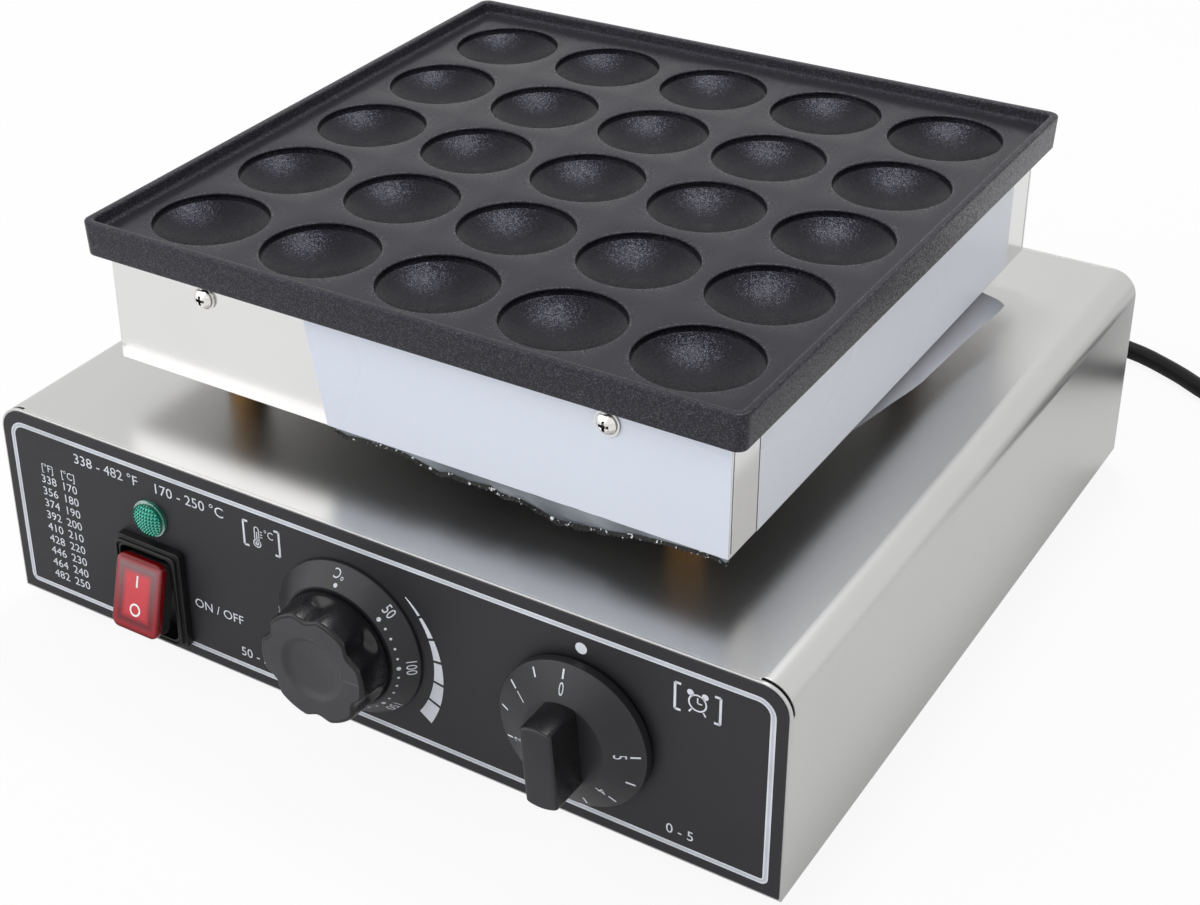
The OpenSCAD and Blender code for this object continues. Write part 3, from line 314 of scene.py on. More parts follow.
def add_plate(material, mould_material):
    shape = Shape()
    rings = cell_rings()
    places = [(i - (MOULD_COUNT - 1) / 2) * MOULD_PITCH for i in range(MOULD_COUNT)]
    flat_z = PLATE_TOP - FLAT_DROP
    for x in places:
        for y in places:
            middle = Vector((x, PLATE_Y + y, flat_z))
            cell = [[middle + Vector(point) for point in ring] for ring in rings]
            # The mould's darker copy of the coating, which paints shade into the bowl, starts within its lip
            shape.loft(cell[:LIP_STEPS])
            shape.loft(cell[LIP_STEPS - 1:], cap=True, finish=1)
    rim = []
    for half, z in rim_profile():
        r = max(PLATE_CORNER_R - (PLATE_HALF - half) / 2, PLATE_LEAST_R)
        outline = rounded_outline(2 * half, 2 * half, r, steps=8)
        rim.append([Vector((a, PLATE_Y + b, PLATE_TOP + z)) for a, b in outline])
    shape.loft(rim)
    piece = shape.piece("plate_casting", "base", "plate_coating", material, mould_material)
    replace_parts(piece, "baking_plate")


# Printed marks

MARK_LIFT = 0.06
DIGIT_SHARE = 0.72


def fascia_frame(u, v):
    """Frame on the fascia: X runs right, Y up and Z out."""
    return Matrix.Translation(front(u, v, MARK_LIFT)) @ rotation(90, "X")


def dial_frame(centre, angle, out):
    """Frame on a face across a control's axis, turned clockwise from the top."""
    return fascia_frame(*centre) @ Matrix.Translation((0, 0, out)) @ rotation(-angle, "Z")


def cone_frame(centre, angle, radius, cone):
    """Frame on a cone round a control's axis: X runs clockwise, Y runs outward down the cone."""
    (wide, low), (narrow, high) = cone
    out = high + (low - high) * (radius - narrow) / (wide - narrow)
    tilt = Matrix.Rotation(atan2(low - high, wide - narrow), 4, "X")
    lift = Matrix.Translation((0, 0, MARK_LIFT))
    return dial_frame(centre, angle, 0) @ Matrix.Translation((0, radius, out)) @ tilt @ lift


class Marks(Shape):
    """Flat printed marks, drawn in millimetres in a frame that lies on the printed face."""

    def shape(self, points, place):
        self.patch([place @ Vector((a, b, 0)) for a, b in points])

    def bar(self, start, end, width, place):
        a, b = Vector(start), Vector(end)
        side = Vector((a.y - b.y, b.x - a.x)).normalized() * width / 2
        self.shape((a + side, a - side, b - side, b + side), place)

    def line(self, points, width, place):
        for a, b in zip(points, points[1:]):
            self.bar(a, b, width, place)

    def disc(self, centre, radius, place, steps=24):
        self.shape(circle(centre, radius, steps), place)

    def band(self, inner, outer, place, finish=0):
        """Fills the space between two outlines with equal counts."""
        rings = [[place @ Vector((a, b, 0)) for a, b in outline] for outline in (inner, outer)]
        self.loft(rings, finish=finish)

    def ring(self, centre, radius, width, place, steps=40):
        self.band(circle(centre, radius - width, steps), circle(centre, radius, steps), place)

    def text(self, words, height, place, squeeze=1.0, align="CENTER"):
        curve = bpy.data.curves.new("words", "FONT")
        curve.body = words
        curve.size = height / DIGIT_SHARE
        curve.align_x = align
        curve.align_y = "CENTER"
        curve.resolution_u = 3
        holder = bpy.data.objects.new("words", curve)
        glyphs = bpy.data.meshes.new_from_object(holder)
        first = len(self.points)
        self.points.extend(place @ Vector((p.co.x * squeeze, p.co.y, 0)) for p in glyphs.vertices)
        for polygon in glyphs.polygons:
            self.face([first + k for k in polygon.vertices])
        bpy.data.objects.remove(holder)
        bpy.data.curves.remove(curve)
        bpy.data.meshes.remove(glyphs)


# Controls

DIAL_CONE = ((32.5, 1.3), (25.1, 8))
TIMER_CONE = ((29.5, 4.92), (16.2, 10.7))
GRIP_OUT = 24
GRIP_FLUTES = 6
GRIP_FLUTE_CUT = 2.4
GRIP_FLUTE_POWER = 1.4
POINTER_ANGLE = 86
POINTER_W = 0.5
TIMER_ANGLE = -5
HANDLE_W = 13
HANDLE_R = 16.5
HANDLE_OUT = 27
HANDLE_FOOT_OUT = 10
HANDLE_FACE_SHARE = 0.97
HANDLE_EDGE_R = 1.1
SWITCH_SIZE = (32.5, 44.4, 2.2)
ROCKER_SIZE = (23.4, 31.3, 3.5)
CORNER_SPREAD = 0.25
ROCKER_TILT = 15
ROCKER_FACE = 10.5
SKIRT_RINGS = 9
SKIRT_INSET = 0.3
SKIRT_RIB = 0.5
SKIRT_PITCH = 0.6
SKIRT_FOOT_OUT = 2.5


def add_thermostat_dial(material):
    """Fixed cone round the knob. The profile gives radius, distance out and easing."""
    wide, narrow = DIAL_CONE
    profile = eased((
        (32.3, 0.05, 0), (32.5, 0.3, 0), (*wide, 0.35), (*narrow, 0.25), (24.2, 8, 0.3), (23.8, 7.8, 0),
        (20, 7.8, 0),
    ))
    shape = Shape()
    shape.loft([dial_ring(THERMOSTAT, r, out) for r, out in profile])
    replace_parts(shape.piece("dial_ring", "base", "black_plastic", material), "thermostat_dial")


def flute(angle):
    """Depth of the grip's finger flutes round its edge, from 0 to 1."""
    wave = cos(radians(GRIP_FLUTES * (angle - POINTER_ANGLE) + 180))
    return max(wave, 0) ** GRIP_FLUTE_POWER


def grip_ring(r, out, share):
    return dial_ring(THERMOSTAT, lambda angle: r - share * GRIP_FLUTE_CUT * flute(angle), out)


def add_thermostat_knob(shaded_side_material, face_material, pointer_highlight_material):
    """Fluted knob with a hollow face. The corners give radius, distance out, share of flute and easing."""
    side = (
        (20, 8.7, 0, 0), (23.6, 8.7, 0, 0.3), (23.5, 10.9, 0, 0.7), (23.3, 14, 1, 1.4),
        (23, GRIP_OUT, 1, 1.5),
    )
    face = (
        (20.5, GRIP_OUT, 1, 0.7), (15.5, GRIP_OUT, 0, 1.2), (13.4, GRIP_OUT, 0, 0.8), (11, 22.3, 0, 1.3),
        (2.5, 21.5, 0, 0),
    )
    rings = [grip_ring(*place) for place in eased(side + face)]
    side_rings = 1 + (len(side) - 1) * (EASE_STEPS + 1)
    shape = Shape()
    shape.loft(rings[:side_rings])
    shape.loft(rings[side_rings - 1:], cap=True, finish=1)
    # The grip's side takes a darker copy of the knob's plastic and its face a lighter one: painted shade and
    # painted light
    grip = shape.piece("thermostat_grip", "thermostat", "black_plastic", shaded_side_material, face_material)
    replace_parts(grip, "thermostat_knob")
    # The pointer, a groove in the knob's face, is drawn as a grey stripe: a painted highlight
    line = Marks()
    line.bar((0, 14.6), (0, 21.2), POINTER_W, dial_frame(THERMOSTAT, POINTER_ANGLE, GRIP_OUT))
    line.piece("thermostat_pointer", "thermostat", "black_plastic", pointer_highlight_material)


def handle_outline():
    """Bar with round ends, counter-clockwise, as pairs about the timer's axis."""
    reach = sqrt(HANDLE_R ** 2 - HANDLE_W ** 2 / 4)
    steps = 8
    top = [HANDLE_W / 2 - HANDLE_W * k / steps for k in range(steps + 1)]
    upper = [(a, sqrt(HANDLE_R ** 2 - a ** 2)) for a in top]
    return [(HANDLE_W / 2, -reach)] + upper + [(-a, -b) for a, b in upper[:-1]]


def add_timer_knob(material, shaded_side_material):
    """Cone with a bar across it. The profile gives radius, distance out and easing."""
    wide, narrow = TIMER_CONE
    profile = eased(((24, 1.2, 0), (29.5, 1.2, 0.6), (*wide, 0.4), (*narrow, 0.6), (8, 10.7, 0)))
    shape = Shape()
    shape.loft([dial_ring(TIMER, r, out) for r, out in profile], cap=True)
    skirt = shape.piece("timer_skirt", "timer", "black_plastic", material)
    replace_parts(skirt, "timer_knob")
    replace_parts(add_timer_handle(material, shaded_side_material), "timer_knob")


def add_timer_handle(face_material, shaded_side_material):
    """The bar is raised from its outline, and its edges are rounded."""
    turn = rotation(-TIMER_ANGLE, "Z")
    solid = bmesh.new()
    ends = []
    for out, share in ((HANDLE_FOOT_OUT, 1), (HANDLE_OUT, HANDLE_FACE_SHARE)):
        corners = []
        for a, b in handle_outline():
            turned = turn @ Vector((share * a, b, 0))
            corners.append(solid.verts.new(front(TIMER[0] + turned.x, TIMER[1] + turned.y, out) * MM))
        ends.append(corners)
    foot, face = ends
    solid.faces.new(face)
    for k in range(len(face)):
        step = (k + 1) % len(face)
        solid.faces.new((foot[k], foot[step], face[step], face[k]))
    bmesh.ops.recalc_face_normals(solid, faces=solid.faces)
    crease = radians(CREASE_ANGLE)
    inner_edges = [edge for edge in solid.edges if len(edge.link_faces) == 2]
    sharp = [edge for edge in inner_edges if edge.calc_face_angle() > crease]
    bmesh.ops.bevel(solid, geom=sharp, offset=HANDLE_EDGE_R * MM, segments=4, profile=0.5, affect="EDGES")
    mesh = bpy.data.meshes.new("timer_handle")
    solid.to_mesh(mesh)
    solid.free()
    # Faces turned to the front keep the knob's plastic; the others take a darker copy of it: painted shade on the
    # sides
    face_limit = -0.6
    for polygon in mesh.polygons:
        polygon.use_smooth = True
        polygon.material_index = 0 if polygon.normal.y < face_limit else 1
    mesh.set_sharp_from_angle(angle=crease)
    return link_piece("timer_handle", mesh, "timer", "black_plastic", face_material, shaded_side_material)


def add_switch_frame(material):
    """Flange with two beads round the rocker's opening. The profile gives inset, out and easing."""
    profile = eased((
        (0, 0.05, 0), (0, 3.6, 0.45), (1.1, 3.6, 0.3), (1.1, 5.5, 0.5), (2.1, 5.5, 0.48), (2.1, 4.6, 0.2),
        (2.5, 4.6, 0.18), (2.5, 5, 0.2), (3.3, 5, 0.4), (3.3, -4, 0),
    ))

    def ring(inset, out):
        outline = inset_outline(SWITCH_SIZE, inset, CORNER_SPREAD)
        return [front(SWITCH[0] + a, SWITCH[1] + b, out) for a, b in outline]

    shape = Shape()
    shape.loft([ring(*point) for point in profile], cap=True)
    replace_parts(shape.piece("switch_frame", "base", "black_plastic", material), "switch_body")


def rocker_frame():
    """Frame on the rocker's axis: X across, Y up along its face and Z out of it."""
    return Matrix.Translation(joint_places["switch_rock"]) @ rotation(90 - ROCKER_TILT, "X")


def add_rocker(shell_material, skirt_material, mark_material):
    """Clear shell over a ribbed skirt. The profiles give inset and out, and the shell's easing."""
    place = rocker_frame()
    skirt = [
        (SKIRT_INSET + SKIRT_RIB * (k % 2), SKIRT_FOOT_OUT + SKIRT_PITCH * k) for k in range(SKIRT_RINGS)
    ]
    shell = eased((
        (0.5, 7.25, 0), (0, 7.25, 0.3), (0, 10.3, 1), (3.7, 10.42, 0.5), (7.2, ROCKER_FACE, 0),
    ))

    def ring(inset, out):
        outline = inset_outline(ROCKER_SIZE, inset, -CORNER_SPREAD)
        return [place @ Vector((a, b, out)) for a, b in outline]

    base = Shape()
    base.loft([ring(*point) for point in skirt], cap=True)
    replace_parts(base.piece("rocker_skirt", "rocker", "black_plastic", skirt_material), "switch_rocker")
    shape = Shape()
    shape.loft([ring(*point) for point in shell], cap=True)
    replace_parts(shape.piece("rocker_shell", "rocker", "red_rocker", shell_material), "switch_rocker")
    marks = Marks()
    face = place @ Matrix.Translation((0, 0, ROCKER_FACE + MARK_LIFT))
    marks.bar((0, 3.6), (0, 8.6), 0.9, face)
    marks.ring((0, -5.9), radius=2.7, width=0.8, place=face)
    marks.piece("rocker_marks", "rocker", "red_rocker", mark_material)


def add_lens(material, shade_material):
    """Domed lens: a plain rim, and small pyramids inside it, shaded on their lower and right sides."""
    rim_r = (lens_high.x - lens_low.x) / 2
    dome_r = rim_r - 1
    dome_out = 5
    dome_h = 2.3
    pitch = 1.4
    point_h = 0.9
    steps = 64
    cells = ceil(dome_r / pitch)
    shape = Shape()
    profile = eased((
        (rim_r - 0.1, 0.05, 0), (rim_r, 1.4, 0.35), (dome_r + 0.1, 1.4, 0.25),
        (dome_r, dome_out - dome_h, 0),
    ))
    shape.loft([dial_ring(LAMP, r, out, steps) for r, out in profile], finish=1)

    def place(a, b, lift=0):
        r = hypot(a, b)
        share = min(1, dome_r / r) if r else 1
        fall = dome_h * min(r / dome_r, 1) ** 2
        return front(LAMP[0] + a * share, LAMP[1] + b * share, dome_out - point_h - fall + lift)

    for i in range(-cells, cells):
        for j in range(-cells, cells):
            middle = ((i + 0.5) * pitch, (j + 0.5) * pitch)
            if hypot(*middle) > dome_r + pitch / 2:
                continue
            square = ((i, j), (i + 1, j), (i + 1, j + 1), (i, j + 1))
            corners = [place(a * pitch, b * pitch) for a, b in square]
            apex = place(*middle, point_h)
            for k in range(4):
                shape.patch((corners[k], corners[(k + 1) % 4], apex), finish=0 if k > 1 else 1)
    lens = shape.piece("lamp_lens", "base", "green_lens", material, shade_material, crease=10)
    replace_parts(lens, "indicator_lens")


# Fascia print

BORDER_GAP = 5
BORDER_TOP_GAP = 5.5
BORDER_W = 2.1
BORDER_LINE_W = 0.55
BORDER_TOP_R = 7
BORDER_LOW_R = 3
THERMOMETER_AT = (-41.6, 70.4)
CLOCK_AT = (140.7, 70.4)
TIMER_DOT_AT = (96.4, 75)
RANGES_AT = (-97.5, 74.6)
SWITCH_WORDS_AT = (-66.5, 27.2)
DIAL_RANGE_AT = (-57, 12.4)
TIMER_RANGE_AT = (135.5, 12.4)


def border_outline(inset):
    """Outline inside the border's outer edge, with its own corner radii above and below."""
    w = BASE_W - 2 * (BORDER_GAP + inset)
    low, high = BORDER_GAP + inset, BASE_H - BORDER_TOP_GAP - inset
    outline = rounded_outline(w, high - low, BORDER_TOP_R - inset, steps=8, low_r=BORDER_LOW_R - inset)
    return [(a, (low + high) / 2 + b) for a, b in outline]


def draw_brackets(marks, place):
    inner, outer, rise, width = 6.2, 8.4, 5.4, 0.95
    for side in (-1, 1):
        corners = [(side * inner, rise), (side * outer, rise), (side * outer, -rise), (side * inner, -rise)]
        marks.line(corners, width, place)


def draw_thermometer(marks, place):
    draw_brackets(marks, place)
    bulb, level = (-2.2, -3.1), (-2.2, 2.0)
    tube = [(-3.2, -1.7), (-3.2, 3.4), (-2.7, 4.1), (-1.7, 4.1), (-1.2, 3.4), (-1.2, -1.7)]
    marks.ring(bulb, 1.9, 0.5, place)
    marks.disc(bulb, 0.9, place)
    marks.bar(bulb, level, 0.5, place)
    marks.line(tube, 0.45, place)
    for y in (0.2, 1.4, 2.6):
        marks.bar((-0.6, y), (0.5, y), 0.4, place)
    marks.text("°C", 3.4, place @ Matrix.Translation((3.5, 2.2, 0)), 0.9)


def draw_clock(marks, place):
    draw_brackets(marks, place)
    marks.ring((0, 0), 3.5, 0.6, place)
    marks.line([(0, 2.2), (0, 0), (1.7, 0)], 0.5, place)
    for side in (-1, 1):
        marks.disc((side * 2.7, 3.5), 1.25, place)
        marks.bar((side * 2.2, -3.1), (side * 3.1, -4.5), 0.6, place)


def draw_table(marks):
    """Rows of equal temperatures on both scales, under their signs."""
    row_h = 5.75
    head_v = 64.6
    columns = (-151.3, -140.2)
    for column, head in zip(columns, ("[°F]", "[°C]")):
        marks.text(head, 3.5, fascia_frame(column, head_v), 0.9)
    for row in range(9):
        celsius = 170 + 10 * row
        v = head_v - row_h * (row + 1)
        for column, value in zip(columns, (celsius * 9 // 5 + 32, celsius)):
            marks.text(str(value), 3.9, fascia_frame(column, v), 1.05)


def draw_heat_scale(marks):
    """Arc of blocks beside the thermostat that grow clockwise."""
    start, end, blocks, gap = 43, 127, 6, 1.6
    inner_r, thin_w, growth = 37.5, 0.4, 5.8
    span = (end - start) / blocks
    steps = 5
    panel = fascia_frame(*THERMOSTAT)
    for block in range(blocks):
        angles = [start + span * block + gap / 2 + (span - gap) * k / steps for k in range(steps + 1)]
        outer = [(angle, inner_r + thin_w + growth * (angle - start) / (end - start)) for angle in angles]
        inner = [(angle, inner_r) for angle in reversed(angles)]
        marks.shape([(r * sin(radians(a)), r * cos(radians(a))) for a, r in outer + inner], panel)


def draw_dial(marks):
    """Degrees round the thermostat's dial: 45 degrees of turn for each 50, and a dot for each 10."""
    turn, dot_ring_r, number_r, sign_r = 45, 26.6, 29.9, 30
    for step in (0, *range(5, 31)):
        dot_r = 0.85 if step % 5 == 0 else 0.5
        place = cone_frame(THERMOSTAT, step * turn / 5, dot_ring_r, DIAL_CONE)
        marks.disc((0, 0), dot_r, place, 16)
    for mark in range(1, 7):
        place = cone_frame(THERMOSTAT, mark * turn, number_r, DIAL_CONE)
        marks.text(str(50 * mark), 4.2, place, 0.8)
    upside_down = cone_frame(THERMOSTAT, 0, sign_r, DIAL_CONE) @ rotation(180, "Z")
    marks.text("°C", 3.9, upside_down, 0.85)


def add_fascia_marks(material, core_material):
    marks = Marks()
    flat = fascia_frame(0, 0)
    insets = (0, BORDER_LINE_W, BORDER_W - BORDER_LINE_W, BORDER_W)
    for k in range(3):
        marks.band(border_outline(insets[k + 1]), border_outline(insets[k]), flat, finish=k % 2)
    draw_table(marks)
    draw_thermometer(marks, fascia_frame(*THERMOMETER_AT))
    draw_clock(marks, fascia_frame(*CLOCK_AT))
    draw_heat_scale(marks)
    draw_dial(marks)
    marks.disc((0, 0), 2.3, fascia_frame(*TIMER_DOT_AT))
    marks.text("338 - 482 °F    170 - 250 °C", 4.6, fascia_frame(*RANGES_AT), 1.05)
    marks.text("ON / OFF", 4.2, fascia_frame(*SWITCH_WORDS_AT))
    marks.text("50 - 300 °C", 4.2, fascia_frame(*DIAL_RANGE_AT), 1, "LEFT")
    marks.text("0 - 5", 4.2, fascia_frame(*TIMER_RANGE_AT))
    marks.piece("fascia_marks", "base", "fascia_print", material, core_material)


def add_timer_marks(material):
    """Ticks and numbers run counter-clockwise round the timer's skirt, 27 degrees for each half."""
    half_turn, tick_r, digit_r = 27, 26.1, 21
    marks = Marks()
    for step in range(11):
        angle = TIMER_ANGLE - half_turn * step
        marks.bar((0, -1.8), (0, 1.8), 0.75, cone_frame(TIMER, angle, tick_r, TIMER_CONE))
        if step % 2 == 0:
            marks.text(str(step // 2), 5.0, cone_frame(TIMER, angle, digit_r, TIMER_CONE), 0.62)
    marks.piece("timer_marks", "timer", "black_plastic", material)


# Protective film

FILM_OFF = 0.12
FILM_EDGE = 0.2
FILM_TOP_Z = housing_high.z - FILM_EDGE
FILM_LEFT_X = housing_low.x + 92.5
FILM_SLANT = 9
FILM_SIDE_MARGIN = 20
FILM_WAVE = 0.05
FILM_WAVE_L = 40
FILM_GRID = (80, 16)
FLAP_GRID = (48, 8)
FLAP_ENDS = (-44, 83)
FLAP_HANG = 9.2
NOISE_LAYER = 3.7


def ripple(a, b, size, height):
    """Smooth random swell at a place on a sheet, up to height either way."""
    return height * noise.noise(Vector((a / size, b / size, NOISE_LAYER)))


def film_z(across):
    return FILM_TOP_Z + (housing_low.z - FILM_TOP_Z) * across


def film_lift(a, b):
    """How far the flat film stands off its wall."""
    return FILM_OFF + FILM_WAVE + ripple(a, b, FILM_WAVE_L, FILM_WAVE)


def add_front_film(material):
    def place(along, across):
        z = film_z(across)
        left = FILM_LEFT_X + FILM_SLANT * across
        x = left + (housing_high.x - FILM_EDGE - left) * along
        return Vector((x, housing_low.y - film_lift(x, z), z))

    shape = Shape()
    shape.loft(sheet(*FILM_GRID, place), closed=False)
    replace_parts(shape.piece("front_film", "base", "film", material), "film_front")


def add_side_film(material):
    near, far = housing_low.y + FILM_SIDE_MARGIN, housing_high.y - FILM_SIDE_MARGIN

    def place(along, across):
        z = film_z(across)
        y = near + (far - near) * along
        return Vector((housing_high.x + film_lift(y, z), y, z))

    shape = Shape()
    shape.loft(sheet(*FILM_GRID, place), closed=False)
    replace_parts(shape.piece("side_film", "base", "film", material), "film_side")


def add_film_flap(material):
    """Film that has come away below the right wall and stands out towards its far end."""
    near, far = FLAP_ENDS
    open_rate, taper, end_cut = 2.2, 0.12, 0.25
    near_out, open_out, far_out = 0.6, 1.6, 6.2
    slant, corner_cut, curl = 7, 3, 1.5
    wave_w, wave_l, wave_h = 9, 20, 0.5

    def place(along, across):
        opening = min(1, open_rate * along)
        hang = FLAP_HANG * opening * (1 - taper * along - end_cut * along ** 24)
        out = near_out + open_out * opening + far_out * along ** 3
        corner = corner_cut * across ** 6 * along ** 8
        y = near + (far - near) * along + slant * across * along - corner
        wave = ripple(y, wave_w * across, wave_l, wave_h) * across
        x = housing_high.x + FILM_OFF + out * across ** curl + wave
        return Vector((x, y, housing_low.z - hang * across))

    shape = Shape()
    shape.loft(sheet(*FLAP_GRID, place), closed=False)
    shape.piece("film_flap", "base", "film", material)


# How far the torn edge hangs below the front wall, at places along it from the base's middle
TEAR_PLACES = (
    (-29, 0.2), (-24, 1.8), (-16, 0.7), (0, 0.5), (8, 2.2), (17, 4.9), (22, 3.1), (30, 4.2), (39, 2.8),
    (43, 5.0), (52, 4.4), (63, 8.4), (73, 7.9), (88, 5.2), (100, 2.4), (112, 1.1), (122, 0.3),
    (130, 0.2), (132.5, 1.9), (134, 0.8),
)


def tear_depth(x):
    for (a, low), (b, high) in zip(TEAR_PLACES, TEAR_PLACES[1:]):
        if a <= x <= b:
            return low + (high - low) * (x - a) / (b - a)
    return 0


def add_film_tear(material, edge_material):
    """Skirt of loose film under the front wall. Its lower edge is toothed and curls out."""
    start, end = TEAR_PLACES[0][0], TEAR_PLACES[-1][0]
    tooth_pitch, tooth_steps, rag_l, rag_share = 1.8, 4, 7, 0.4
    lean, bow_h, bow_share, crease_w, crease_l, crease_h = 0.25, 0.9, 1 / 8, 24, 9, 0.8
    curl_out, curl_drop = 0.7, 0.6
    step = tooth_pitch / tooth_steps
    columns, rows = int((end - start) / step), 6

    def place(along, across):
        x = start + step * columns * along
        depth = tear_depth(x)
        bow = bow_h * sin(pi * across) + ripple(x, crease_w * across, crease_l, crease_h)
        y = housing_low.y - FILM_OFF + lean * depth * across - bow * depth * bow_share
        return Vector((x, y, housing_low.z - depth * across))

    def tooth(x):
        return abs(2 * (x / tooth_pitch % 1) - 1) + abs(ripple(x, 0, rag_l, rag_share * tear_depth(x)))

    grid = sheet(columns, rows, place)
    edge = [point - Vector((0, curl_out, curl_drop + tooth(point.x))) for point in grid[-1]]
    shape = Shape()
    shape.loft(grid, closed=False)
    shape.loft([grid[-1], edge], closed=False, finish=1)
    shape.piece("film_tear", "base", "film", material, edge_material)


# Cord: the free stretch repeats the route of the part, and the coil is wound by the same rule

CORD_D = 8.5
TIE_T = 1.2
TIE_W = 8
TIE_CLEARANCE = 0.6
TIE_CORNER_R = 2.5
TIE_EDGE = 0.3
CORD_LEAD = CORD_D + 2
PLUG_LEAD = 1.2 * CORD_D
CORD_REST_Z = CORD_D / 2 + 0.25
RELIEF_X = (relief_low.x + relief_high.x) / 2
RELIEF_Y = relief_high.y
RELIEF_Z = (relief_low.z + relief_high.z) / 2
COIL_ENTRY = -24
COIL_EXIT = 90
COIL_TURNS = 2
COIL_PITCH = 1.06 * CORD_D
COIL_R = 5.5 * CORD_D + COIL_PITCH
COIL_CENTRE = (RELIEF_X + 214, RELIEF_Y + 63.6)
COIL_LOW_Z = TIE_T + TIE_CLEARANCE + CORD_D / 2
COIL_HALF = 360 * COIL_TURNS
COIL_SWEEP = 2 * COIL_HALF + COIL_EXIT - COIL_ENTRY
COIL_STEP = 10


def heading(angle):
    return Vector((cos(radians(angle)), sin(radians(angle)), 0))


def coil_place(sweep):
    """Place on the coil, which winds inward in its lower layer and back outward in the upper one."""
    radius = COIL_R - COIL_PITCH * (COIL_HALF - abs(COIL_HALF - sweep)) / 360
    climb = min(max((sweep - COIL_HALF + 90) / 180, 0), 1)
    centre = Vector((*COIL_CENTRE, COIL_LOW_Z + COIL_PITCH * climb))
    return centre + radius * heading(COIL_ENTRY - 90 + sweep)


def curve_point(a, b, c, d, t):
    """Place at share t of the smooth curve from b to c."""
    bend = (2 * a - 5 * b + 4 * c - d) * t * t
    return 0.5 * (2 * b + (c - a) * t + bend + (3 * b - a - 3 * c + d) * t ** 3)


def guide(start, end, following):
    """Place that lets a smooth curve leave end along the stretch from start."""
    return following - 2 * (following - end).length * (end - start).normalized()


def smooth_path(places, steps):
    """Smooth curve through places. Its first and last stretches are straight."""
    last = len(places) - 1
    before = guide(places[0], places[1], places[2])
    after = guide(places[last], places[last - 1], places[last - 2])
    stations = [before, *places[1:last], after]
    path = [places[0]]
    for a, b, c, d in zip(stations, stations[1:], stations[2:], stations[3:]):
        path += [curve_point(a, b, c, d, s / steps) for s in range(steps)]
    return path + places[last - 1:]


def cord_path():
    coil_start = coil_place(0) - CORD_LEAD * heading(COIL_ENTRY)
    plug_start = Vector((coil_place(COIL_SWEEP).x, plug_low.y, (plug_low.z + plug_high.z) / 2))
    route = [Vector(place) for place in (
        (RELIEF_X, RELIEF_Y, RELIEF_Z),
        (RELIEF_X, RELIEF_Y + CORD_LEAD, RELIEF_Z),
        (RELIEF_X + 6, RELIEF_Y + 32, RELIEF_Z - 6),
        (RELIEF_X + 22, RELIEF_Y + 52, RELIEF_Z / 2 - 2),
        (RELIEF_X + 50, RELIEF_Y + 63, CORD_REST_Z + 1.5),
        (RELIEF_X + 86, RELIEF_Y + 64, CORD_REST_Z),
        (RELIEF_X + 112, RELIEF_Y + 53.6, CORD_REST_Z),
        (RELIEF_X + 134, RELIEF_Y + 40.6, CORD_REST_Z),
        coil_start - CORD_LEAD * heading(COIL_ENTRY),
        coil_start,
    )]
    loops = [coil_place(i * COIL_STEP) for i in range(int(COIL_SWEEP / COIL_STEP) + 1)]
    lead_out = [
        coil_place(COIL_SWEEP) + CORD_D * heading(COIL_EXIT),
        plug_start - PLUG_LEAD * heading(COIL_EXIT),
        plug_start,
    ]
    return smooth_path(route, steps=4) + loops + lead_out


def add_cord(material):
    path = cord_path()
    length = sum((b - a).length for a, b in zip(path, path[1:])) * MM
    curve = bpy.data.curves.new("mains_cord", "CURVE")
    curve.dimensions = "3D"
    curve.bevel_depth = CORD_D / 2 * MM
    curve.bevel_resolution = 6
    curve.use_fill_caps = True
    spline = curve.splines.new("POLY")
    spline.points.add(len(path) - 1)
    for point, place in zip(spline.points, path):
        point.co = (*(place * MM), 1)
    spline.use_smooth = True
    cord = link_piece("mains_cord", curve, "base", "black_rubber", material)
    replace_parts(cord, "power_cord", "cord_coil")


def add_tie(material):
    """Strap round the coil: a flat band with round corners."""
    angle = COIL_ENTRY + 90
    across = heading(angle)
    along = heading(angle + 90)
    inner = COIL_PITCH + CORD_D + 2 * TIE_CLEARANCE
    rise = Vector((0, 0, inner / 2 + TIE_T))
    middle = Vector((*COIL_CENTRE, 0)) + (COIL_R - COIL_PITCH) * across + rise
    half = TIE_W / 2

    def ring(grow, offset):
        outline = rounded_outline(inner + 2 * grow, inner + 2 * grow, TIE_CORNER_R + grow)
        return [middle + across * a + along * offset + Vector((0, 0, b)) for a, b in outline]

    shape = Shape()
    shape.loft([
        ring(0, -half), ring(TIE_T - TIE_EDGE, -half), ring(TIE_T, TIE_EDGE - half),
        ring(TIE_T, half - TIE_EDGE), ring(TIE_T - TIE_EDGE, half), ring(0, half), ring(0, -half),
    ])
    tie = shape.piece("coil_strap", "base", "black_rubber", material)
    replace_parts(tie, "cord_tie")
    return tie


# Materials

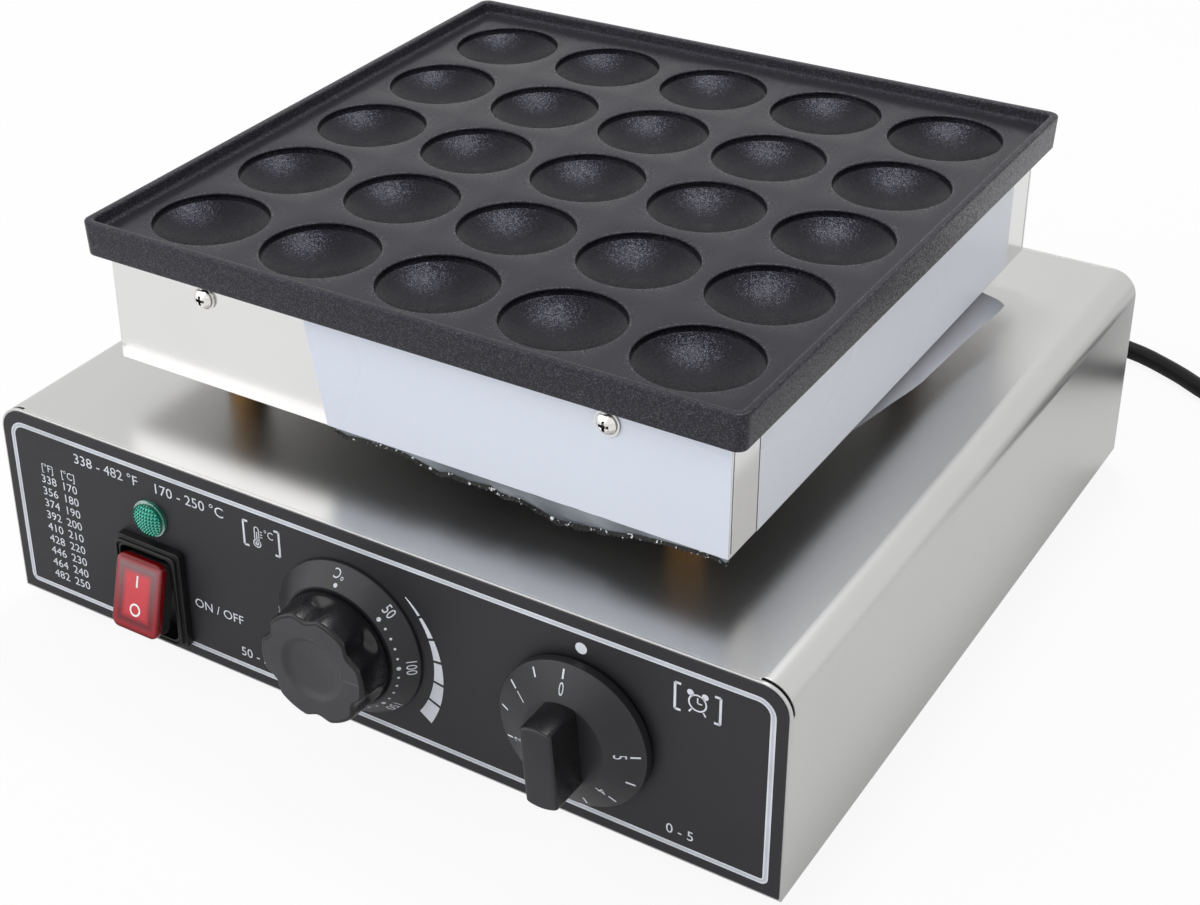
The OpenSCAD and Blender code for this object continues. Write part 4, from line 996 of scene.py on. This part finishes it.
class Nodes:
    """The node tree of a material or world, with short calls for the nodes that the finishes share."""

    def __init__(self, owner):
        owner.use_nodes = True
        self.tree = owner.node_tree

    def feed(self, socket, value):
        if isinstance(value, bpy.types.NodeSocket):
            self.tree.links.new(value, socket)
        else:
            socket.default_value = value

    def fill(self, node, inputs):
        """Feeds a node's inputs by their names, with _ for a space."""
        for key, value in inputs.items():
            self.feed(node.inputs[key.replace("_", " ")], value)
        return node

    def add(self, kind, **inputs):
        return self.fill(self.tree.nodes.new(kind), inputs)

    def join(self, node, *values):
        """Feeds a node's inputs in their order and gives its first output."""
        for socket, value in zip(node.inputs, values):
            self.feed(socket, value)
        return node.outputs[0]

    def place(self, kind="POINT", **inputs):
        """Place on the piece in its own frame, mapped by the inputs that are given."""
        coordinates = self.add("ShaderNodeTexCoord").outputs["Object"]
        mapping = self.add("ShaderNodeMapping", Vector=coordinates, **inputs)
        mapping.vector_type = kind
        return mapping.outputs["Vector"]

    def axis(self, vector, letter):
        return self.add("ShaderNodeSeparateXYZ", Vector=vector).outputs[letter]

    def noise(self, scale, detail=3, rough=0.5, stretch=(1, 1, 1)):
        place = self.place(Scale=stretch)
        node = self.add("ShaderNodeTexNoise", Vector=place, Scale=scale, Detail=detail, Roughness=rough)
        return node.outputs["Fac"]

    def spread(self, value, low, high, start=0.3, end=0.7):
        """Turns values from start to end into values from low to high."""
        ends = {"From_Min": start, "From_Max": end, "To_Min": low, "To_Max": high}
        return self.add("ShaderNodeMapRange", Value=value, **ends).outputs["Result"]

    def ramp(self, value, stops):
        """Colour by a value, from pairs of place and colour in rising order."""
        node = self.add("ShaderNodeValToRGB", Fac=value)
        elements = node.color_ramp.elements
        while len(elements) < len(stops):
            elements.new(1)
        for element, (position, colour) in zip(elements, stops):
            element.position = position
            element.color = (*colour, 1)
        return node.outputs["Color"]

    def tint(self, value, dark, light, start=0.3, end=0.7):
        return self.ramp(value, ((start, dark), (end, light)))

    def bump(self, height, distance, strength=1.0, normal=None):
        node = self.add("ShaderNodeBump", Height=height, Distance=distance, Strength=strength)
        if normal:
            self.feed(node.inputs["Normal"], normal)
        return node.outputs["Normal"]

    def vector(self, operation, *values):
        node = self.add("ShaderNodeVectorMath")
        node.operation = operation
        return self.join(node, *values)

    def maths(self, operation, *values):
        node = self.add("ShaderNodeMath")
        node.operation = operation
        return self.join(node, *values)

    def mix_into(self, output, share, first, second):
        """Mixes two shaders for the tree's output."""
        mixed = self.join(self.add("ShaderNodeMixShader"), share, first.outputs[0], second.outputs[0])
        self.feed(self.tree.nodes[output].inputs["Surface"], mixed)


class Finish(Nodes):
    """A new material and its main shader."""

    def __init__(self, name):
        self.material = bpy.data.materials.new(name)
        super().__init__(self.material)
        self.shader = self.tree.nodes["Principled BSDF"]

    def set(self, **inputs):
        """Feeds the main shader and gives the material."""
        self.fill(self.shader, inputs)
        return self.material


def shade(colour, share):
    return tuple(channel * share for channel in colour)


def sheet_steel(name, colour, roughness, stretch):
    """Smooth rolled stainless sheet: faint streaks along one direction and eased edges."""
    n = Finish(name)
    streaks = n.noise(60, 4, 0.6, stretch)
    clouds = n.noise(9, 2)
    soft_edge = n.add("ShaderNodeBevel", Radius=0.0005)
    grain = n.add("ShaderNodeTangent")
    grain.direction_type = "RADIAL"
    grain.axis = "Y"
    return n.set(
        Base_Color=n.tint(clouds, shade(colour, 0.95), colour),
        Metallic=1.0,
        Anisotropic=0.25,
        Anisotropic_Rotation=0.25,
        Tangent=grain.outputs["Tangent"],
        Roughness=n.spread(streaks, roughness - 0.006, roughness + 0.006),
        Normal=n.bump(clouds, 0.0001, 0.05, soft_edge.outputs["Normal"]),
    )


def bright_metal(name, colour, roughness, painted_hollow_shade=False):
    """Plated or turned metal with faint wear, or with painted shade in its hollows, such as the cross in a screw's
    head.
    """
    n = Finish(name)
    wear = n.noise(700, 3)
    if painted_hollow_shade:
        # Painted shade: the colour darkens where the surface is closed in, as in a screw's cross
        openness_for_painted_shade = n.add("ShaderNodeAmbientOcclusion", Distance=0.002).outputs["AO"]
        tone = n.tint(openness_for_painted_shade, shade(colour, 0.02), colour, 0.35, 0.85)
    else:
        tone = n.tint(wear, shade(colour, 0.85), colour)
    return n.set(
        Base_Color=tone,
        Metallic=1.0,
        Roughness=n.spread(wear, roughness * 0.8, roughness * 1.3),
        Normal=n.bump(wear, 0.00003, 0.3),
    )


def moulded_plastic(name, colour, roughness, grain=900, relief=0.35, gloss=0.35):
    """Satin moulded plastic or rubber with a fine even grain."""
    n = Finish(name)
    fine = n.noise(grain, 3, 0.6)
    broad = n.noise(40, 2)
    return n.set(
        Base_Color=n.tint(broad, shade(colour, 0.85), shade(colour, 1.1)),
        Specular_IOR_Level=gloss,
        Roughness=n.spread(fine, roughness - 0.05, roughness + 0.08),
        Normal=n.bump(fine, 0.00004, relief),
    )


def plate_coating(name, dark, light, gloss, roughness):
    """Dark non-stick coating: small flakes and pebbles on the slopes, and smooth level faces."""
    n = Finish(name)
    flakes = n.add("ShaderNodeTexVoronoi", Vector=n.place(), Scale=2800)
    streaks = n.noise(300, 3, 0.6, (1, 1, 6))
    pebbles = n.noise(1100, 2, 0.6)
    normal = n.add("ShaderNodeNewGeometry").outputs["Normal"]
    slope = n.spread(n.axis(normal, "Z"), 1, 0.15, 0.998, 0.9998)
    lean = n.vector("SUBTRACT", flakes.outputs["Color"], (0.5, 0.5, 0.5))
    leaning = n.vector("MULTIPLY_ADD", lean, n.maths("MULTIPLY", slope, 0.24), normal)
    flake_normal = n.vector("NORMALIZE", leaning)
    specks = n.maths("MULTIPLY", slope, flakes.outputs["Color"])
    return n.set(
        Base_Color=n.tint(specks, dark, light, 0.6, 0.9),
        Roughness=n.spread(streaks, roughness, roughness + 0.08),
        Specular_IOR_Level=gloss,
        Specular_Tint=(0.78, 0.77, 1.0, 1),
        Normal=n.bump(pebbles, 0.0001, n.maths("MULTIPLY", slope, 0.7), flake_normal),
    )


def protective_film(name, dark, light, scale=8, depth=0.00005):
    """Pale plastic film: faint clouds where it lies flat, and creases where it is loose."""
    n = Finish(name)
    clouds = n.noise(scale, 1)
    return n.set(
        Base_Color=n.tint(clouds, dark, light, 0.2, 0.8),
        Roughness=n.spread(clouds, 0.24, 0.34, 0.2, 0.8),
        Specular_IOR_Level=0.3,
        Normal=n.bump(clouds, depth, 0.3),
    )


def hanging_film(name, dark, light):
    """Film that hangs free, in the shade of the wall at its top and paler towards its lower edge."""
    n = Finish(name)
    creases = n.noise(50, 3)
    fall = n.spread(n.axis(n.place(), "Z"), 1, 0, (housing_low.z - FLAP_HANG) * MM, housing_low.z * MM)
    return n.set(
        Base_Color=n.tint(n.maths("MULTIPLY", fall, n.spread(creases, 0.8, 1)), dark, light, 0, 1),
        Roughness=n.spread(creases, 0.3, 0.4),
        Normal=n.bump(creases, 0.0006, 0.4),
    )


def torn_edge(name):
    """Ragged edge of the film, painted nearly black as shade, with painted white glints scattered by noise."""
    n = Finish(name)
    # The same noise makes the rags, the painted shade and the painted glints
    rags_and_painted_glints = n.noise(600, 2, 0.6)
    return n.set(
        Base_Color=n.tint(rags_and_painted_glints, (0.003, 0.003, 0.003), (0.8, 0.81, 0.83), 0.61, 0.66),
        Roughness=n.spread(rags_and_painted_glints, 0.3, 0.4),
        Specular_IOR_Level=0.2,
        Normal=n.bump(rags_and_painted_glints, 0.001, 0.5),
    )


def clear_colour(name, colour):
    """Coloured clear plastic."""
    n = Finish(name)
    depth = n.noise(220, 2)
    return n.set(
        Base_Color=n.tint(depth, shade(colour, 0.8), colour),
        Roughness=n.spread(depth, 0.08, 0.13),
        Transmission_Weight=0.3,
        IOR=1.49,
        Specular_IOR_Level=0.2,
    )


def hazy_red(name):
    """Red clear plastic over a brighter core, with a painted shade line round the core and a painted sheen that
    grows towards the top.

    The tones go by the distance outside the core's edge, in millimetres of the rocker's own frame.
    """
    core = (7.2, 10.4, 0)
    reach = (-2.2, 4.6)
    painted_sheen_span = (-9, 13)
    # Each tone gives its place, its colour low on the rocker and its colour with the painted sheen high on it. The
    # dark tones just outside the core are the painted shade line.
    tones = (
        (-2.2, (0.54, 0.045, 0.06), (0.66, 0.09, 0.11)),
        (0.4, (0.16, 0.02, 0.027), (0.24, 0.15, 0.16)),
        (1.1, (0.17, 0.024, 0.03), (0.25, 0.18, 0.19)),
        (3, (0.33, 0.02, 0.03), (0.32, 0.10, 0.11)),
        (4.3, (0.16, 0.001, 0.002), (0.18, 0.004, 0.006)),
    )
    n = Finish(name)
    frame_mm = rocker_frame()
    turn = frame_mm.to_euler()
    local = n.place("TEXTURE", Location=frame_mm.translation * MM, Rotation=turn, Scale=(MM, MM, MM))
    outside = n.vector("SUBTRACT", n.vector("ABSOLUTE", local), core)
    distance = n.maths("MAXIMUM", n.axis(outside, "X"), n.axis(outside, "Y"))
    share = n.spread(distance, 0, 1, *reach)
    cloud = n.spread(n.noise(220, 2), 0.85, 1)
    # Painted sheen: the colour turns paler towards the top of the rocker
    rise = n.maths("MULTIPLY", n.spread(n.axis(local, "Y"), 0, 1, *painted_sheen_span), cloud)
    stops = [((place - reach[0]) / (reach[1] - reach[0]), low, high) for place, low, high in tones]
    low_tone = n.ramp(share, [(stop, low) for stop, low, high in stops])
    painted_sheen_tone = n.ramp(share, [(stop, high) for stop, low, high in stops])
    painted_sheen = n.add("ShaderNodeMixRGB", Fac=rise, Color1=low_tone, Color2=painted_sheen_tone)
    return n.set(
        Base_Color=painted_sheen.outputs["Color"],
        Roughness=n.spread(cloud, 0.1, 0.16, 0.85, 1),
        Specular_IOR_Level=0.2,
        Coat_Weight=0.15,
        Coat_Roughness=0.05,
    )


def fibre(name, colour, scale):
    """Fibrous mat or braided sleeve."""
    n = Finish(name)
    threads = n.noise(scale, 5, 0.7)
    return n.set(
        Base_Color=n.tint(threads, shade(colour, 0.7), colour),
        Roughness=n.spread(threads, 0.8, 0.95),
        Normal=n.bump(threads, 0.0003, 0.5),
    )


coating = plate_coating("plate_coating", (0.026, 0.026, 0.031), (0.09, 0.09, 0.10), 0.15, 0.18)
# The moulds take a darker copy of the plate's coating: painted shade in the bowls
mould_coating_painted_shade = plate_coating("mould_coating_painted_shade", (0.002, 0.002, 0.003), (0.01, 0.01, 0.012), 0.20, 0.27)
housing_steel = sheet_steel("housing_steel", (0.80, 0.797, 0.793), 0.12, (1, 1, 40))
base_steel = sheet_steel("base_steel", (0.57, 0.567, 0.562), 0.29, (1, 40, 1))
screw_metal = bright_metal("screw_metal", (0.80, 0.79, 0.77), 0.14, painted_hollow_shade=True)
zinc_metal = bright_metal("zinc_metal", (0.60, 0.60, 0.60), 0.35)
dark_metal = bright_metal("element_metal", (0.20, 0.18, 0.17), 0.5)
brass_metal = bright_metal("brass_metal", (0.27, 0.15, 0.05), 0.4)
copper_metal = bright_metal("copper_metal", (0.75, 0.42, 0.28), 0.3)
film = protective_film("protective_film", (0.67, 0.715, 0.81), (0.70, 0.745, 0.83))
# The film on the right wall is a lighter, greyer copy of the front film: painted light for that side
side_film = protective_film("side_film", (0.75, 0.78, 0.85), (0.79, 0.82, 0.88))
flap_film = hanging_film("flap_film", (0.07, 0.075, 0.085), (0.66, 0.68, 0.76))
# The loose skirt under the front wall is a darker copy of the pale film: painted shade
loose_film_painted_shade = protective_film("loose_film_painted_shade", (0.06, 0.07, 0.09), (0.30, 0.33, 0.37), 60, 0.001)
torn_film = torn_edge("torn_film")
fascia_black = moulded_plastic("fascia_black", (0.008, 0.008, 0.011), 0.5, 1500, gloss=0.45)
knob_black = moulded_plastic("knob_black", (0.018, 0.018, 0.021), 0.36)
# Lighter and darker copies of the knobs' plastic for their faces and sides: painted light and painted shade
grip_face_painted_light = moulded_plastic("grip_face_painted_light", (0.040, 0.040, 0.045), 0.45)
grip_side_painted_shade = moulded_plastic("grip_side_painted_shade", (0.007, 0.007, 0.008), 0.24, 3000, relief=0.02)
frame_black = moulded_plastic("frame_black", (0.005, 0.005, 0.005), 0.38)
rubber_black = moulded_plastic("rubber_black", (0.006, 0.006, 0.007), 0.36, gloss=0.12)
pointer_painted_highlight = moulded_plastic("pointer_painted_highlight", (0.10, 0.10, 0.10), 0.4)
print_white = moulded_plastic("print_white", (0.66, 0.68, 0.74), 0.5, 2000)
print_grey = moulded_plastic("print_grey", (0.50, 0.52, 0.58), 0.5, 2000)
mark_white = moulded_plastic("mark_white", (0.80, 0.80, 0.80), 0.4, 2000)
ceramic_white = moulded_plastic("ceramic_white", (0.78, 0.76, 0.70), 0.55)
lens_green = clear_colour("lens_green", (0.14, 0.86, 0.66))
lens_shade = clear_colour("lens_shade", (0.008, 0.20, 0.13))
rocker_red = hazy_red("rocker_red")
wool = fibre("mineral_wool", (0.75, 0.70, 0.55), 300)
sleeve = fibre("wire_sleeve", (0.32, 0.06, 0.04), 1200)

slot_materials = {
    "plate_coating": coating,
    "bright_screw": screw_metal,
    "housing_steel": housing_steel,
    "base_steel": base_steel,
    "film": film,
    "element_steel": dark_metal,
    "ceramic": ceramic_white,
    "copper": copper_metal,
    "mineral_wool": wool,
    "brass": brass_metal,
    "zinc": zinc_metal,
    "fascia_print": fascia_black,
    "green_lens": lens_green,
    "black_plastic": knob_black,
    "red_rocker": rocker_red,
    "black_rubber": rubber_black,
    "wire_sleeve": sleeve,
    "pin_steel": screw_metal,
}
for entry in frame["record"]["subparts"]:
    mesh = nodes[entry["node"]].data
    mesh.materials.clear()
    mesh.materials.append(slot_materials[entry["material_slot"]])

add_plate(coating, mould_coating_painted_shade)
add_thermostat_dial(knob_black)
add_thermostat_knob(grip_side_painted_shade, grip_face_painted_light, pointer_painted_highlight)
add_timer_knob(knob_black, grip_side_painted_shade)
add_switch_frame(frame_black)
add_rocker(rocker_red, rubber_black, mark_white)
add_lens(lens_green, lens_shade)
add_fascia_marks(print_white, print_grey)
add_timer_marks(print_white)
add_front_film(film)
add_side_film(side_film)
add_film_flap(flap_film)
add_film_tear(loose_film_painted_shade, torn_film)
strap = add_tie(rubber_black)
add_cord(rubber_black)


# Stage and light

LIGHT_TARGET = (0, 0, 0.1)
FLOOR_HALF = 6000


def sight(n, camera_share, reflected_share):
    """How much plain white a ray gets: for the camera, for reflections and through clear pieces."""
    path = n.add("ShaderNodeLightPath")
    reflected = n.maths("MAXIMUM", path.outputs["Is Glossy Ray"], path.outputs["Is Transmission Ray"])
    reflected = n.maths("MULTIPLY", reflected, reflected_share)
    direct = n.maths("MULTIPLY", path.outputs["Is Camera Ray"], camera_share)
    return n.maths("MAXIMUM", direct, reflected)


def add_floor():
    sides = ((-1, -1), (1, -1), (1, 1), (-1, 1))
    shape = Shape()
    shape.patch([(x * FLOOR_HALF, y * FLOOR_HALF, 0) for x, y in sides])
    mesh = shape.mesh("floor")
    n = Finish("floor")
    n.set(Base_Color=(0.86, 0.86, 0.86, 1), Roughness=0.9)
    white = n.add("ShaderNodeEmission", Color=(1, 1, 1, 1), Strength=1.0)
    n.mix_into("Material Output", sight(n, 0.9, 0.28), n.shader, white)
    mesh.materials.append(n.material)
    floor_piece = new_object("floor", mesh)


def add_world():
    world = bpy.data.worlds.new("studio")
    bpy.context.scene.world = world
    n = Nodes(world)
    light = n.add("ShaderNodeBackground", Color=(1, 1, 1, 1), Strength=0.45)
    white = n.add("ShaderNodeBackground", Color=(1, 1, 1, 1), Strength=1.0)
    n.mix_into("World Output", sight(n, 1, 1), light, white)


def add_softbox(name, place, size, power):
    """Area light that faces the machine. Its place and size are in metres."""
    light = bpy.data.lights.new(name, "AREA")
    light.shape = "SQUARE"
    light.size = size
    light.energy = power
    aim = (Vector(LIGHT_TARGET) - Vector(place)).to_track_quat("-Z", "Y")
    new_object(name, light).matrix_world = Matrix.Translation(Vector(place)) @ aim.to_matrix().to_4x4()


add_floor()
add_world()
add_softbox("back_light", (-0.12, 0.55, 1.7), size=0.3, power=11)
add_softbox("left_light", (-1.6, -2.0, 1.4), size=4, power=72)
add_softbox("right_light", (2.2, -0.5, 1.2), size=2, power=6)
bpy.context.scene.view_settings.view_transform = "Standard"
